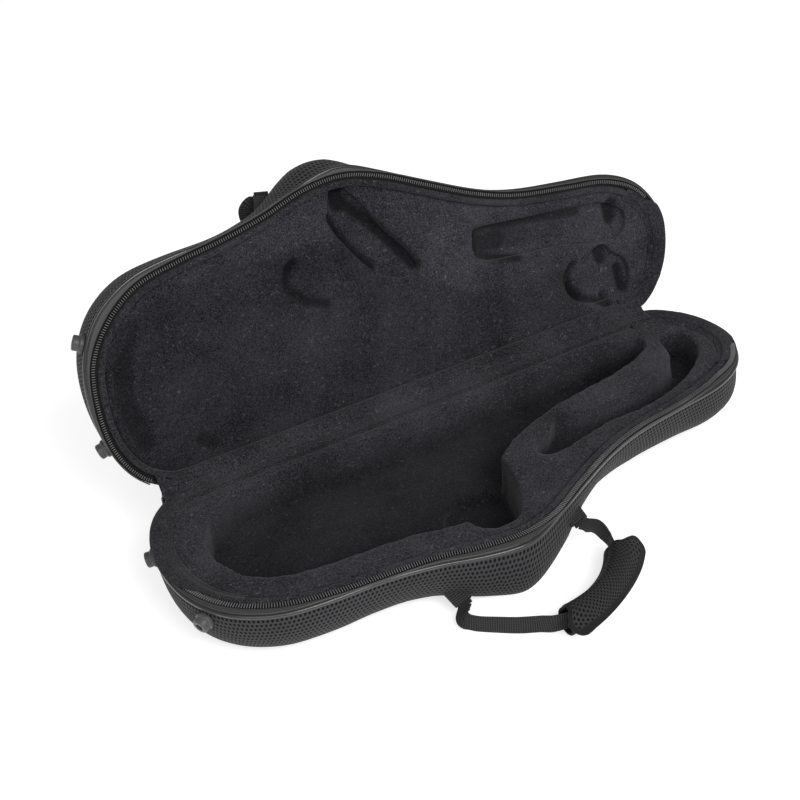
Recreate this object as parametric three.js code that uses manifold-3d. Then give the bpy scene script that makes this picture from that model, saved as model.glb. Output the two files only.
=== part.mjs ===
// Shaped clamshell case for an alto saxophone: two lofted shells hinged along the back,
// foam liners with fitted pockets, a zip round three sides, rubber feet and webbing handles.
// Millimetres, +Z up. X runs along the hinge, -Y is the front. The origin is on the floor,
// under the middle of the base's length and width. The lid is modelled shut, then turned open.
import * as THREE from 'three';
import { mergeVertices } from 'three/addons/utils/BufferGeometryUtils.js';
import Module from 'manifold-3d';

const wasm = await Module();
wasm.setup();

// Driving dimensions of the case
const caseLength = 650;
const caseWidth = 250;
const halfDepth = 76;
const pipingDrop = 6;
const wallThickness = 6;
const lidOpenAngle = THREE.MathUtils.degToRad(105);
const seatGap = 0.3;
const cutOverrun = 20;

// Rim: piping, satin band, zip and plush collar
const pipingRadius = 2.2;
const pipingInset = 1;
const widestZipInset = 12.5;
const bandThickness = 2;
const bandTopDrop = 1.6;
const leastBandWidth = 1.2;
const coilWidth = 6.4;
const coilTopDrop = 0.5;
const coilThickness = 1.9;
const tapeThickness = 0.8;
const tapeInnerLap = 0.8;
const collarWidth = 7;
const collarTopDrop = 1.2;
const collarRound = 2;
const collarHeight = 8.4;

// Liners and their pockets
const linerTopDrop = 6;
const lidLinerThickness = 28;
const bodyPocketDepth = 46;
const bellPocketDepth = 56;
const neckPocketDepth = 34;
const lidRecessDepth = 20;

// Hinge strip
const hingeBeadRadius = 2;
const hingeStripThickness = 2;

// Rubber feet and their screws
const footRadius = 7.5;
const footLength = 9;
const footFlangeRadius = 9;
const footFlangeThickness = 2;
const footSocketRadius = 3.6;
const footSocketDepth = 3.6;
const screwHeadRadius = 3;
const screwHeadHeight = 1.8;
const footDrop = 20;

// Webbing, its anchors and the padded grip
const webbingWidth = 20;
const webbingThickness = 2;
const webbingBeadRadius = 1.5;
const anchorStandOff = 8;
const leaveLength = 5;
const leftAnchorDrop = { base: 59, lid: 63 };
const rightAnchorDrop = { base: 35, lid: 58 };
const gripBoreHalfWidth = 9.8;
const gripBoreHalfHeight = 11.4;
const gripThickness = 3.2;
const flapNearLap = 3;
const flapFarLap = 18;
const patchThickness = 0.8;

// Zip sliders and pull tabs
const sliderLength = 14;
const sliderWidth = 10.6;
const sliderPlate = 1.5;
const sliderThroat = 3;
const sliderNeckWidth = 4;
const sliderStandOff = 3.4;
const innerPlateShare = 0.6;
const bailHeight = 4;
const bailSpan = 7;
const bailWidth = 3;
const bailWall = 1.4;
const pullLength = 27;
const pullWidth = 8;
const pullThickness = 1.4;
const pullEyeWidth = 3.8;
const pullEyeLength = 5;
const zipEndLength = 10;
const zipEndThickness = 2.8;
const zipEndReach = 6.5;

// Derived places
const wallDepth = halfDepth - pipingDrop;
const rimTopDrop = pipingDrop + pipingRadius + seatGap;
const collarInset = coilWidth / 2 + tapeInnerLap + seatGap;
const linerStepDrop = collarTopDrop + collarHeight + seatGap;
const hingeLine = new THREE.Vector3(0, caseWidth / 2, halfDepth);

// The outline from the hinge's left end round the bow end, the bell's bulge and the neck end to
// the hinge's right end. Each row: share of the length, of the width, how far the base's and the
// lid's wall turn under as shares of the wall's depth, and the inset of the base's and the lid's
// zip as shares of the widest inset.
const outlineShares = [
  [0.130, 0.000, 0.24, 0.42, 0.20, 0.20],
  [0.084, 0.012, 0.30, 0.42, 0.20, 0.20],
  [0.038, 0.092, 0.35, 0.37, 0.26, 0.20],
  [0.010, 0.228, 0.38, 0.31, 0.20, 0.26],
  [0.000, 0.405, 0.42, 0.26, 0.32, 0.50],
  [0.010, 0.590, 0.57, 0.28, 0.62, 0.64],
  [0.044, 0.738, 0.71, 0.34, 0.82, 0.90],
  [0.102, 0.834, 0.74, 0.38, 0.80, 0.70],
  [0.173, 0.866, 0.74, 0.55, 0.44, 0.48],
  [0.249, 0.879, 0.78, 0.78, 0.24, 0.20],
  [0.321, 0.917, 0.70, 0.57, 0.55, 0.20],
  [0.384, 0.972, 0.45, 0.24, 0.82, 0.36],
  [0.450, 1.000, 0.23, 0.20, 0.92, 0.74],
  [0.512, 0.934, 0.20, 0.52, 0.22, 0.34],
  [0.584, 0.836, 0.40, 0.88, 0.20, 0.20],
  [0.662, 0.740, 0.74, 1.06, 0.20, 0.22],
  [0.732, 0.686, 0.92, 1.10, 0.22, 0.36],
  [0.820, 0.653, 0.92, 1.08, 0.20, 0.46],
  [0.903, 0.620, 0.76, 0.95, 0.72, 0.52],
  [0.962, 0.533, 0.61, 0.78, 0.48, 0.48],
  [0.997, 0.370, 0.52, 0.62, 0.26, 0.42],
  [0.985, 0.163, 0.40, 0.48, 0.20, 0.28],
  [0.939, 0.022, 0.28, 0.42, 0.20, 0.20],
  [0.890, 0.000, 0.24, 0.42, 0.20, 0.20],
];
const stationsPerRow = 3;
const backStations = 4;
const firstZipStation = 5;
const sliderStation = 4;
const zipEndStation = 2;

const materials = {
  meshFabric: new THREE.MeshStandardMaterial({ color: 0x333436, roughness: 0.85, metalness: 0 }),
  satin: new THREE.MeshStandardMaterial({ color: 0x3a3b3d, roughness: 0.55, metalness: 0 }),
  piping: new THREE.MeshStandardMaterial({ color: 0x4a4b4e, roughness: 0.35, metalness: 0 }),
  tape: new THREE.MeshStandardMaterial({ color: 0x232426, roughness: 0.8, metalness: 0 }),
  coil: new THREE.MeshStandardMaterial({ color: 0x2e2f31, roughness: 0.4, metalness: 0 }),
  plush: new THREE.MeshStandardMaterial({ color: 0x1f2027, roughness: 1, metalness: 0 }),
  rubber: new THREE.MeshStandardMaterial({ color: 0x2c2d2e, roughness: 0.6, metalness: 0 }),
  webbing: new THREE.MeshStandardMaterial({ color: 0x1d1e1f, roughness: 0.8, metalness: 0 }),
  darkMetal: new THREE.MeshStandardMaterial({ color: 0x2a2a2c, roughness: 0.3, metalness: 0.9 }),
};

// Outline stations with their outward normals
function makeStations() {
  const rows = outlineShares.length - 1;
  const places = new THREE.CatmullRomCurve3(
    outlineShares.map(([along, across]) => new THREE.Vector3(
      (along - 0.5) * caseLength, -across * caseWidth, 0)));
  const sections = [2, 3].map((side) => new THREE.CatmullRomCurve3(
    outlineShares.map((row) => new THREE.Vector3(
      row[side] * wallDepth, row[side + 2] * widestZipInset, 0)), false, 'catmullrom', 0.5));
  const stations = [];
  const count = rows * stationsPerRow;
  for (let index = 0; index <= count; index += 1) {
    const point = places.getPoint(index / count);
    const tangent = places.getTangent(index / count);
    const [base, lid] = sections.map((section) => section.getPoint(index / count));
    stations.push({
      x: point.x, y: point.y, nx: tangent.y, ny: -tangent.x,
      baseTurn: base.x, baseZip: base.y, lidTurn: lid.x, lidZip: lid.y,
    });
  }
  const first = stations[0];
  const last = stations[count];
  for (const end of [first, last]) {
    end.nx = 0;
    end.ny = 1;
  }
  for (let index = 1; index < backStations; index += 1) {
    const share = index / backStations;
    stations.push({ ...first, x: THREE.MathUtils.lerp(last.x, first.x, share) });
  }
  return stations;
}
const stations = makeStations();
const frontCount = (outlineShares.length - 1) * stationsPerRow + 1;

const turnOf = (side, station) => (side < 0 ? station.baseTurn : station.lidTurn);
const zipOf = (side, station) => (side < 0 ? station.baseZip : station.lidZip);

// A point of one half: inset from the outline at a station, and its drop from the parting plane.
// side is -1 for the base, whose drop goes down, and 1 for the shut lid, whose drop goes up.
function halfPoint(side, station, inset, drop) {
  return new THREE.Vector3(
    station.x - station.nx * inset, station.y - station.ny * inset, side * drop);
}

// Closed body from a grid of points: rings of stations, joined ring to ring
function gridSolid(grid, wrapRings, wrapStations) {
  const ringCount = grid.length;
  const pointCount = grid[0].length;
  const positions = grid.flat().flatMap((point) => [point.x, point.y, point.z]);
  const faces = [];
  const at = (ring, point) => (ring % ringCount) * pointCount + (point % pointCount);
  for (let ring = 0; ring < ringCount - (wrapRings ? 0 : 1); ring += 1) {
    for (let point = 0; point < pointCount - (wrapStations ? 0 : 1); point += 1) {
      const corners = [at(ring, point), at(ring + 1, point),
        at(ring + 1, point + 1), at(ring, point + 1)];
      faces.push([corners[0], corners[1], corners[2]], [corners[0], corners[2], corners[3]]);
    }
  }
  const cap = (indices, flat, reversed) => {
    const clockwise = THREE.ShapeUtils.area(flat) < 0;
    for (const [a, b, c] of THREE.ShapeUtils.triangulateShape(flat, [])) {
      const turned = THREE.ShapeUtils.area([flat[a], flat[b], flat[c]]) < 0;
      const face = turned === clockwise ? [a, b, c] : [a, c, b];
      if (reversed) face.reverse();
      faces.push(face.map((index) => indices[index]));
    }
  };
  if (!wrapRings) {
    for (const ring of [0, ringCount - 1]) {
      const indices = grid[ring].map((_, point) => at(ring, point));
      cap(indices, grid[ring].map((p) => new THREE.Vector2(p.x, p.y)), ring > 0);
    }
  }
  if (!wrapStations) {
    for (const point of [0, pointCount - 1]) {
      const indices = grid.map((_, ring) => at(ring, point));
      cap(indices, flattened(grid.map((ring) => ring[point])), point === 0);
    }
  }
  return outwards(positions, faces.flat());
}

// The points of a flat loop in the two directions of its own plane
function flattened(points) {
  const normal = new THREE.Vector3();
  for (let index = 0; index < points.length; index += 1) {
    const next = points[(index + 1) % points.length];
    normal.add(new THREE.Vector3().crossVectors(points[index], next));
  }
  normal.normalize();
  const first = new THREE.Vector3().subVectors(points[1], points[0]).normalize();
  const second = new THREE.Vector3().crossVectors(normal, first);
  return points.map((point) => new THREE.Vector2(point.dot(first), point.dot(second)));
}

// Indexed geometry with its faces turned outwards
function outwards(positions, indices) {
  let volume = 0;
  const corner = (index) => new THREE.Vector3().fromArray(positions, indices[index] * 3);
  for (let index = 0; index < indices.length; index += 3) {
    volume += corner(index).dot(corner(index + 1).cross(corner(index + 2)));
  }
  const ordered = volume < 0 ? [...indices].reverse() : indices;
  const geometry = new THREE.BufferGeometry();
  geometry.setAttribute('position', new THREE.Float32BufferAttribute(positions, 3));
  geometry.setIndex(ordered);
  return geometry;
}

// Joins and cuts
function welded(geometry) {
  const bare = geometry.clone();
  bare.deleteAttribute('normal');
  bare.deleteAttribute('uv');
  return mergeVertices(bare, 1e-4);
}

function toSolid(geometry) {
  const merged = welded(geometry);
  return new wasm.Manifold(new wasm.Mesh({
    numProp: 3,
    vertProperties: new Float32Array(merged.attributes.position.array),
    triVerts: new Uint32Array(merged.index.array),
  }));
}

function toGeometry(solid) {
  const mesh = solid.getMesh();
  const geometry = new THREE.BufferGeometry();
  geometry.setAttribute('position', new THREE.BufferAttribute(mesh.vertProperties, 3));
  geometry.setIndex(new THREE.BufferAttribute(mesh.triVerts, 1));
  return geometry;
}

const cut = (geometry, ...tools) => toGeometry(
  tools.reduce((solid, tool) => solid.subtract(toSolid(tool)), toSolid(geometry)));
const join = (geometry, ...others) => toGeometry(
  others.reduce((solid, other) => solid.add(toSolid(other)), toSolid(geometry)));
const common = (geometry, other) => toGeometry(toSolid(geometry).intersect(toSolid(other)));

// Wall surfaces: quarter ellipses from the rim down to the flat bottom
const wallAngles = [20, 38, 56, 73, 90].map(THREE.MathUtils.degToRad);
const innerAngles = [26, 46, 67, 90].map(THREE.MathUtils.degToRad);

function wallRing(side, offset, angle) {
  const drop = pipingDrop + (wallDepth - offset) * Math.sin(angle);
  const turned = 1 - Math.cos(angle);
  return stations.map((station) => halfPoint(
    side, station, offset + (turnOf(side, station) - offset) * turned, drop));
}

function rimAngle(offset) {
  return Math.asin((rimTopDrop - pipingDrop) / (wallDepth - offset));
}

// Outside of one half, grown by a gap: what feet and anchors are cut to
function halfBody(side, gap) {
  const walls = wallAngles.map((angle) => wallRing(side, -gap, angle));
  return gridSolid([
    ...walls.reverse(),
    stations.map((station) => halfPoint(side, station, -gap, pipingDrop)),
  ], false, true);
}

function shellGeometry(side) {
  const outer = wallAngles.map((angle) => wallRing(side, 0, angle));
  const inner = innerAngles.map((angle) => wallRing(side, wallThickness, angle));
  return gridSolid([
    ...outer.reverse(),
    wallRing(side, 0, rimAngle(0)),
    wallRing(side, wallThickness, rimAngle(wallThickness)),
    ...inner,
  ], false, true);
}

// Closed loops and open runs along the rim, from a section of inset and drop
const frontRun = stations.slice(firstZipStation, frontCount - firstZipStation);

function rimSweep(side, along, section, closed) {
  const grid = section.map((corner) => along.map((station) => {
    const [inset, drop] = corner(zipOf(side, station));
    return halfPoint(side, station, inset, drop);
  }));
  return gridSolid(grid, true, closed);
}

function pipingGeometry(side) {
  const sides = 6;
  const section = Array.from({ length: sides }, (_, index) => {
    const angle = (2 * Math.PI * index) / sides;
    return () => [pipingInset + pipingRadius * Math.cos(angle),
      pipingDrop + pipingRadius * Math.sin(angle)];
  });
  return rimSweep(side, stations, section, true);
}

function bandGeometry(side) {
  const bottom = pipingDrop - pipingRadius - seatGap;
  const edge = (zip) => zip - coilWidth / 2 - seatGap;
  const start = (zip) => Math.min(pipingInset, edge(zip) - leastBandWidth);
  return rimSweep(side, frontRun, [
    (zip) => [start(zip), bottom],
    (zip) => [start(zip), bottom - bandThickness],
    (zip) => [edge(zip), bandTopDrop],
    (zip) => [edge(zip), bandTopDrop + bandThickness],
  ], false);
}

function tapeGeometry(side) {
  const top = coilTopDrop + coilThickness + seatGap;
  const half = coilWidth / 2;
  return rimSweep(side, frontRun, [
    (zip) => [zip - half, top],
    (zip) => [zip + half + tapeInnerLap, top],
    (zip) => [zip + half + tapeInnerLap, top + tapeThickness],
    (zip) => [zip - half, top + tapeThickness],
  ], false);
}

function coilGeometry(side) {
  const bottom = coilTopDrop + coilThickness;
  const half = coilWidth / 2;
  return rimSweep(side, frontRun, [
    (zip) => [zip - half, bottom],
    (zip) => [zip - half / 2, coilTopDrop],
    (zip) => [zip + half / 2, coilTopDrop],
    (zip) => [zip + half, bottom],
  ], false);
}

function collarGeometry(side) {
  const bottom = collarTopDrop + collarHeight;
  const shoulder = collarTopDrop + collarRound;
  return rimSweep(side, stations, [
    (zip) => [zip + collarInset, bottom],
    (zip) => [zip + collarInset, shoulder],
    (zip) => [zip + collarInset + collarRound, collarTopDrop],
    (zip) => [zip + collarInset + collarWidth - collarRound, collarTopDrop],
    (zip) => [zip + collarInset + collarWidth, shoulder],
    (zip) => [zip + collarInset + collarWidth, bottom],
  ], true);
}

// Foam liner: a lip inside the collar, a step under it, then the shell's inner form
function linerBlock(side, thickness) {
  const lipInset = collarInset + collarWidth + seatGap;
  const offset = wallThickness + seatGap;
  const lip = (drop) => stations.map((station) => halfPoint(
    side, station, zipOf(side, station) + lipInset, drop));
  const startAngle = rimAngle(wallThickness);
  const firstDrop = pipingDrop + (wallDepth - offset) * Math.sin(innerAngles[0]);
  const share = (linerStepDrop - rimTopDrop) / (firstDrop - rimTopDrop);
  const turned = THREE.MathUtils.lerp(
    1 - Math.cos(startAngle), 1 - Math.cos(innerAngles[0]), share);
  const step = stations.map((station) => halfPoint(
    side, station, offset + (turnOf(side, station) - offset) * turned, linerStepDrop));
  const block = gridSolid([
    lip(linerTopDrop), lip(linerStepDrop), step,
    ...innerAngles.map((angle) => wallRing(side, offset, angle)),
  ], false, true);
  if (thickness === undefined) return block;
  const keep = new THREE.BoxGeometry(2 * caseLength, 2 * caseWidth, thickness);
  keep.translate(0, -caseWidth / 2, side * (linerTopDrop + thickness / 2));
  return common(block, keep);
}

// Pockets: outlines in shares of the length and the width, cut down from the liner's top
const bodyPocketShares = [
  [0.075, 0.300], [0.092, 0.560], [0.150, 0.655], [0.240, 0.690], [0.330, 0.715],
  [0.400, 0.760], [0.440, 0.700], [0.500, 0.560], [0.560, 0.440], [0.660, 0.345],
  [0.780, 0.300], [0.875, 0.215], [0.880, 0.120], [0.700, 0.095], [0.400, 0.095],
  [0.150, 0.110],
];
const bellPocketShares = [
  [0.405, 0.700], [0.410, 0.800], [0.430, 0.850], [0.470, 0.845], [0.495, 0.760],
  [0.515, 0.620], [0.520, 0.500], [0.450, 0.450], [0.410, 0.550],
];
const neckPocketShares = [
  [0.575, 0.555], [0.585, 0.600], [0.620, 0.600], [0.700, 0.555], [0.760, 0.560],
  [0.840, 0.520], [0.900, 0.445], [0.945, 0.330], [0.942, 0.200], [0.912, 0.170],
  [0.900, 0.250], [0.890, 0.330], [0.840, 0.415], [0.760, 0.440], [0.690, 0.430],
  [0.650, 0.400], [0.625, 0.455], [0.590, 0.500],
];
const lidTroughShares = [
  [0.428, 0.915], [0.452, 0.912], [0.505, 0.700], [0.550, 0.520], [0.535, 0.480],
  [0.486, 0.520], [0.440, 0.670], [0.417, 0.800],
];
const lidNeckShares = [
  [0.655, 0.580], [0.740, 0.560], [0.880, 0.520], [0.928, 0.450], [0.925, 0.365],
  [0.895, 0.335], [0.800, 0.390], [0.690, 0.420], [0.648, 0.455], [0.645, 0.550],
];
const lidRoundShares = [
  [0.860, 0.330], [0.885, 0.330], [0.893, 0.290], [0.918, 0.240], [0.918, 0.130],
  [0.880, 0.085], [0.848, 0.085], [0.812, 0.130], [0.800, 0.200], [0.815, 0.275],
];

function pocketTool(side, shares, depth) {
  const curve = new THREE.CatmullRomCurve3(shares.map(([along, across]) => new THREE.Vector3(
    (along - 0.5) * caseLength, -across * caseWidth, 0)), true);
  const shape = new THREE.Shape(curve.getPoints(2 * shares.length).slice(1)
    .map((point) => new THREE.Vector2(point.x, point.y)));
  const height = depth + linerTopDrop + cutOverrun;
  const tool = new THREE.ExtrudeGeometry(shape, { depth: height, bevelEnabled: false });
  const bottom = linerTopDrop + depth;
  tool.translate(0, 0, side < 0 ? -bottom : bottom - height);
  return tool;
}

function baseLinerGeometry() {
  return cut(linerBlock(-1),
    pocketTool(-1, bodyPocketShares, bodyPocketDepth),
    pocketTool(-1, bellPocketShares, bellPocketDepth),
    pocketTool(-1, neckPocketShares, neckPocketDepth));
}

function lidLinerGeometry() {
  return cut(linerBlock(1, lidLinerThickness),
    pocketTool(1, lidTroughShares, lidRecessDepth),
    pocketTool(1, lidNeckShares, lidRecessDepth),
    pocketTool(1, lidRoundShares, lidRecessDepth));
}

// Fabric hinge: a folded bead on the hinge axis with a strip down to each piping
function hingeStripShape(side, withBead) {
  const near = hingeBeadRadius + (withBead ? -hingeBeadRadius / 2 : seatGap);
  const far = pipingDrop - pipingRadius - seatGap;
  const strip = new THREE.BoxGeometry(hingeLength, hingeStripThickness, far - near);
  strip.translate(0, -seatGap - hingeStripThickness / 2, side * (near + far) / 2);
  if (!withBead) return strip;
  const bead = new THREE.CylinderGeometry(hingeBeadRadius, hingeBeadRadius, hingeLength, 12);
  bead.rotateZ(Math.PI / 2);
  return join(strip, bead);
}
const hingeEndMargin = 8;
const hingeLength = stations[frontCount - 1].x - stations[0].x - 2 * hingeEndMargin;
const hingeMiddle = (stations[frontCount - 1].x + stations[0].x) / 2;

// A station by its share of the way round the front
function stationAt(share) {
  const place = share * (frontCount - 1);
  const index = Math.floor(place);
  const mixed = Object.keys(stations[0]).map((key) => [key, THREE.MathUtils.lerp(
    stations[index][key], stations[index + 1][key], place - index)]);
  return Object.fromEntries(mixed);
}

// Place and outward direction on the outside of a wall
function wallPlace(side, station, drop) {
  const turn = turnOf(side, station);
  const sine = (drop - pipingDrop) / wallDepth;
  const cosine = Math.sqrt(1 - sine * sine);
  const point = halfPoint(side, station, turn * (1 - cosine), drop);
  const out = new THREE.Vector3(
    (station.nx * cosine) / turn, (station.ny * cosine) / turn,
    (side * sine) / wallDepth).normalize();
  return { point, out };
}

// Rubber foot: a turned bumper with a screw socket, cut to sit on the bow end's wall
const footStations = { back: 9, front: 16 };
const footTilt = THREE.MathUtils.degToRad(12);

function footProfile() {
  return [
    [0, -cutOverrun / 2],
    [footFlangeRadius, -cutOverrun / 2],
    [footFlangeRadius, footFlangeThickness],
    [footRadius, footFlangeThickness + footFlangeRadius - footRadius],
    [footRadius, footLength - footFlangeThickness / 2],
    [footRadius - footFlangeThickness / 2, footLength],
    [footSocketRadius, footLength],
    [footSocketRadius, footLength - footSocketDepth],
    [0, footLength - footSocketDepth],
  ].map(([radius, height]) => new THREE.Vector2(radius, height));
}

function screwProfile() {
  const seat = footLength - footSocketDepth + seatGap;
  return [
    [0, seat],
    [screwHeadRadius, seat],
    [screwHeadRadius, seat + screwHeadHeight / 2],
    [screwHeadRadius / 2, seat + screwHeadHeight],
    [0, seat + screwHeadHeight],
  ].map(([radius, height]) => new THREE.Vector2(radius, height));
}

function turnedOnWall(side, station, profile, segments) {
  const geometry = welded(new THREE.LatheGeometry(profile, segments));
  const away = new THREE.Vector3(station.nx, station.ny, 0)
    .multiplyScalar(Math.cos(footTilt)).setZ(side * Math.sin(footTilt));
  const { point } = wallPlace(side, station, footDrop);
  geometry.applyQuaternion(new THREE.Quaternion().setFromUnitVectors(
    new THREE.Vector3(0, 1, 0), away.normalize()));
  return geometry.translate(point.x, point.y, point.z);
}

function footGeometries(side, station) {
  return {
    foot: cut(turnedOnWall(side, station, footProfile(), 20), halfBody(side, seatGap)),
    screw: turnedOnWall(side, station, screwProfile(), 12),
  };
}

// Webbing: a flat ribbon along a curve whose width direction turns on the way
function ribbon(points, widths, steps) {
  const route = new THREE.CatmullRomCurve3(points);
  const turns = new THREE.CatmullRomCurve3(widths);
  const grid = [[], [], [], []];
  for (let index = 0; index <= steps; index += 1) {
    const share = index / steps;
    const point = route.getPoint(share);
    const tangent = route.getTangent(share);
    const across = turns.getPoint(share).addScaledVector(
      tangent, -turns.getPoint(share).dot(tangent)).normalize();
    const through = new THREE.Vector3().crossVectors(tangent, across);
    [[-1, -1], [1, -1], [1, 1], [-1, 1]].forEach(([wide, thick], corner) => {
      grid[corner].push(point.clone()
        .addScaledVector(across, (wide * webbingWidth) / 2)
        .addScaledVector(through, (thick * webbingThickness) / 2));
    });
  }
  return gridSolid(grid, true, false);
}

// Both handles hang between two anchors either side of the bell's bulge
const leftAnchorShare = 0.458;
const rightAnchorShare = 0.5942;

function anchorPair(side) {
  const half = side < 0 ? 'base' : 'lid';
  const left = wallPlace(side, stationAt(leftAnchorShare), leftAnchorDrop[half]);
  const right = wallPlace(side, stationAt(rightAnchorShare), rightAnchorDrop[half]);
  for (const anchor of [left, right]) {
    anchor.pivot = anchor.point.clone().addScaledVector(anchor.out, anchorStandOff);
  }
  const axis = right.pivot.clone().sub(left.pivot);
  axis.normalize();
  for (const anchor of [left, right]) {
    anchor.away = anchor.out.clone()
      .addScaledVector(axis, -anchor.out.dot(axis)).normalize();
    anchor.leave = anchor.pivot.clone().addScaledVector(anchor.away, leaveLength);
  }
  return { left, right, axis };
}

function pivotBead(pivot, axis) {
  const bead = new THREE.CylinderGeometry(
    webbingBeadRadius, webbingBeadRadius, webbingWidth + 2 * seatGap, 10);
  bead.applyQuaternion(new THREE.Quaternion().setFromUnitVectors(
    new THREE.Vector3(0, 1, 0), axis));
  bead.translate(pivot.x, pivot.y, pivot.z);
  return bead;
}

// Stub of webbing from the wall's seam to just short of the handle's bead
function anchorGeometry(side, { pivot, away }, axis) {
  const through = new THREE.Vector3().crossVectors(axis, away);
  const start = pivot.clone().addScaledVector(away, -anchorStandOff - wallThickness);
  const end = pivot.clone().addScaledVector(away, -webbingBeadRadius - seatGap);
  const corners = (centre, half) => [[-1, -1], [1, -1], [1, 1], [-1, 1]].map(
    ([wide, thick]) => centre.clone()
      .addScaledVector(axis, (wide * webbingWidth) / 2)
      .addScaledVector(through, thick * half));
  const first = corners(start, 2 * webbingThickness);
  const last = corners(end, webbingThickness / 2);
  const grid = first.map((corner, index) => [corner, last[index]]);
  return cut(gridSolid(grid, true, false), halfBody(side, seatGap));
}

// A place by its shares of the case's length and width, at a height over the parting plane
const casePlace = (along, across, height) => new THREE.Vector3(
  (along - 0.5) * caseLength, -across * caseWidth, height);
const floorPlace = (along, across, height) => casePlace(
  along, across, height * webbingWidth - halfDepth);

// Carry handle, lying on the floor in front of the case: shares of the case's length and width
// and height over the floor in shares of the webbing's width
const handleStartShares = [
  [0.352, 0.945, 0.52], [0.350, 0.990, 0.53], [0.3615, 1.036, 0.53],
  [0.3785, 1.072, 0.53], [0.401, 1.114, 0.53], [0.424, 1.150, 0.56], [0.440, 1.188, 0.68],
];
const handleEndShares = [
  [0.592, 0.984, 0.82], [0.588, 0.962, 1.20], [0.578, 0.940, 1.60],
];
const gripHeightShare = (gripBoreHalfHeight + gripThickness + seatGap) / webbingWidth;
const gripLine = new THREE.QuadraticBezierCurve3(
  floorPlace(0.4530, 1.206, gripHeightShare),
  floorPlace(0.5415, 1.200, gripHeightShare),
  floorPlace(0.5908, 1.020, gripHeightShare));
const webbingInGripShares = [0.1, 0.36, 0.64, 0.9];

// Webbing from pivot to pivot: it leaves both along the anchors, then turns on the way
function strapGeometry(anchors, middle, widthAt, steps) {
  const { left, right, axis } = anchors;
  const points = [left.pivot, left.leave, ...middle, right.leave, right.pivot];
  const widths = points.map((point, index) => {
    const fromEnd = Math.min(index, points.length - 1 - index);
    if (fromEnd < 2) return axis;
    const turned = widthAt(point).normalize();
    return fromEnd > 2 ? turned : turned.add(axis).normalize();
  });
  return join(ribbon(points, widths, steps),
    pivotBead(left.pivot, axis), pivotBead(right.pivot, axis));
}

function handleWebbingGeometry(anchors) {
  const middle = [
    ...handleStartShares.map((row) => floorPlace(...row)),
    ...webbingInGripShares.map((share) => gripLine.getPoint(share)),
    ...handleEndShares.map((row) => floorPlace(...row)),
  ];
  return strapGeometry(anchors, middle, () => new THREE.Vector3(0, 0, 1), 50);
}

// Padded wrap: a sheet that starts at the outer side, goes down, once round the webbing and over
// the top again, and ends as a flap with rounded corners that laps over its own start
const wrapStart = THREE.MathUtils.degToRad(70);
const wrapStep = THREE.MathUtils.degToRad(15);
const wrapSteps = 31;
const wrapTurn = wrapSteps * wrapStep;
const liftFromStep = 20;
const lapFromStep = 23;
const lapFullStep = 27;
const flapCornerSteps = 5;
const flapCornerLength = 16;
const gripSteps = 6;
const layerGap = 2 * patchThickness + 3 * seatGap;

function wrapPoint(turn, offset, share, lap) {
  const lifted = THREE.MathUtils.smoothstep(
    turn, liftFromStep * wrapStep, lapFromStep * wrapStep) * (gripThickness + layerGap);
  const angle = wrapStart - turn;
  const reach = offset + lifted;
  const point = gripLine.getPoint(share);
  const tangent = gripLine.getTangent(share);
  const outer = new THREE.Vector3(tangent.y, -tangent.x, 0);
  return point.addScaledVector(tangent, lap)
    .addScaledVector(outer, (gripBoreHalfWidth + reach) * Math.cos(angle))
    .add(new THREE.Vector3(0, 0, (gripBoreHalfHeight + reach) * Math.sin(angle)));
}

// The flap runs past the tube at both ends, with a quarter round at each free corner
function flapLap(turn, longest) {
  const spread = longest * THREE.MathUtils.smoothstep(
    turn, lapFromStep * wrapStep, lapFullStep * wrapStep);
  const cornerTurn = flapCornerSteps * wrapStep;
  const intoCorner = Math.max(0, turn - wrapTurn + cornerTurn) / cornerTurn;
  return spread - flapCornerLength * (1 - Math.sqrt(1 - intoCorner * intoCorner));
}

// Band of the wrap from one step of its turn to another, and from one step of its length to
// another. Its ends may reach past those steps by a lap that varies with the turn.
function wrapBand(steps, lengthSteps, inner, outer, lap) {
  const [from, to] = steps;
  const turns = Array.from({ length: to - from + 1 }, (_, index) => (from + index) * wrapStep);
  const loop = [
    ...turns.map((turn) => [turn, outer]),
    ...[...turns].reverse().map((turn) => [turn, inner]),
  ];
  const [start, end] = lengthSteps;
  const grid = loop.map(([turn, offset]) => Array.from({ length: end - start + 1 }, (_, index) => {
    const atStart = index === 0 ? -lap(turn, flapNearLap) : 0;
    const atEnd = index === end - start ? lap(turn, flapFarLap) : 0;
    return wrapPoint(turn, offset, (start + index) / gripSteps, atStart + atEnd);
  }));
  return gridSolid(grid, true, false);
}

function gripGeometry() {
  return wrapBand([0, wrapSteps], [0, gripSteps], 0, gripThickness, flapLap);
}

// Hook-and-loop patches between the first layer and the flap that laps over it
function patchGeometry(layer) {
  const inner = gripThickness + seatGap + layer * (patchThickness + seatGap);
  return wrapBand([1, 4], [1, gripSteps - 1], inner, inner + patchThickness, () => 0);
}

// Lid's plain strap, hanging in a loop behind the lid: shares of the case's length and width
// and, away from the parting plane, of a half's depth
const lidStrapShares = [
  [0.347, 0.928, 0.940], [0.334, 0.912, 0.990], [0.330, 0.872, 1.060], [0.336, 0.810, 1.120],
  [0.356, 0.720, 1.180], [0.402, 0.620, 1.230], [0.470, 0.570, 1.255], [0.532, 0.600, 1.240],
  [0.566, 0.690, 1.210], [0.572, 0.790, 1.160], [0.560, 0.860, 1.060],
];

function lidStrapGeometry(anchors) {
  const middle = lidStrapShares.map(([along, across, away]) => casePlace(
    along, across, away * halfDepth));
  const centre = middle.reduce((sum, point) => sum.add(point), new THREE.Vector3())
    .divideScalar(middle.length);
  return strapGeometry(
    anchors, middle, (point) => centre.clone().sub(point).setZ(0), 44);
}

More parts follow.
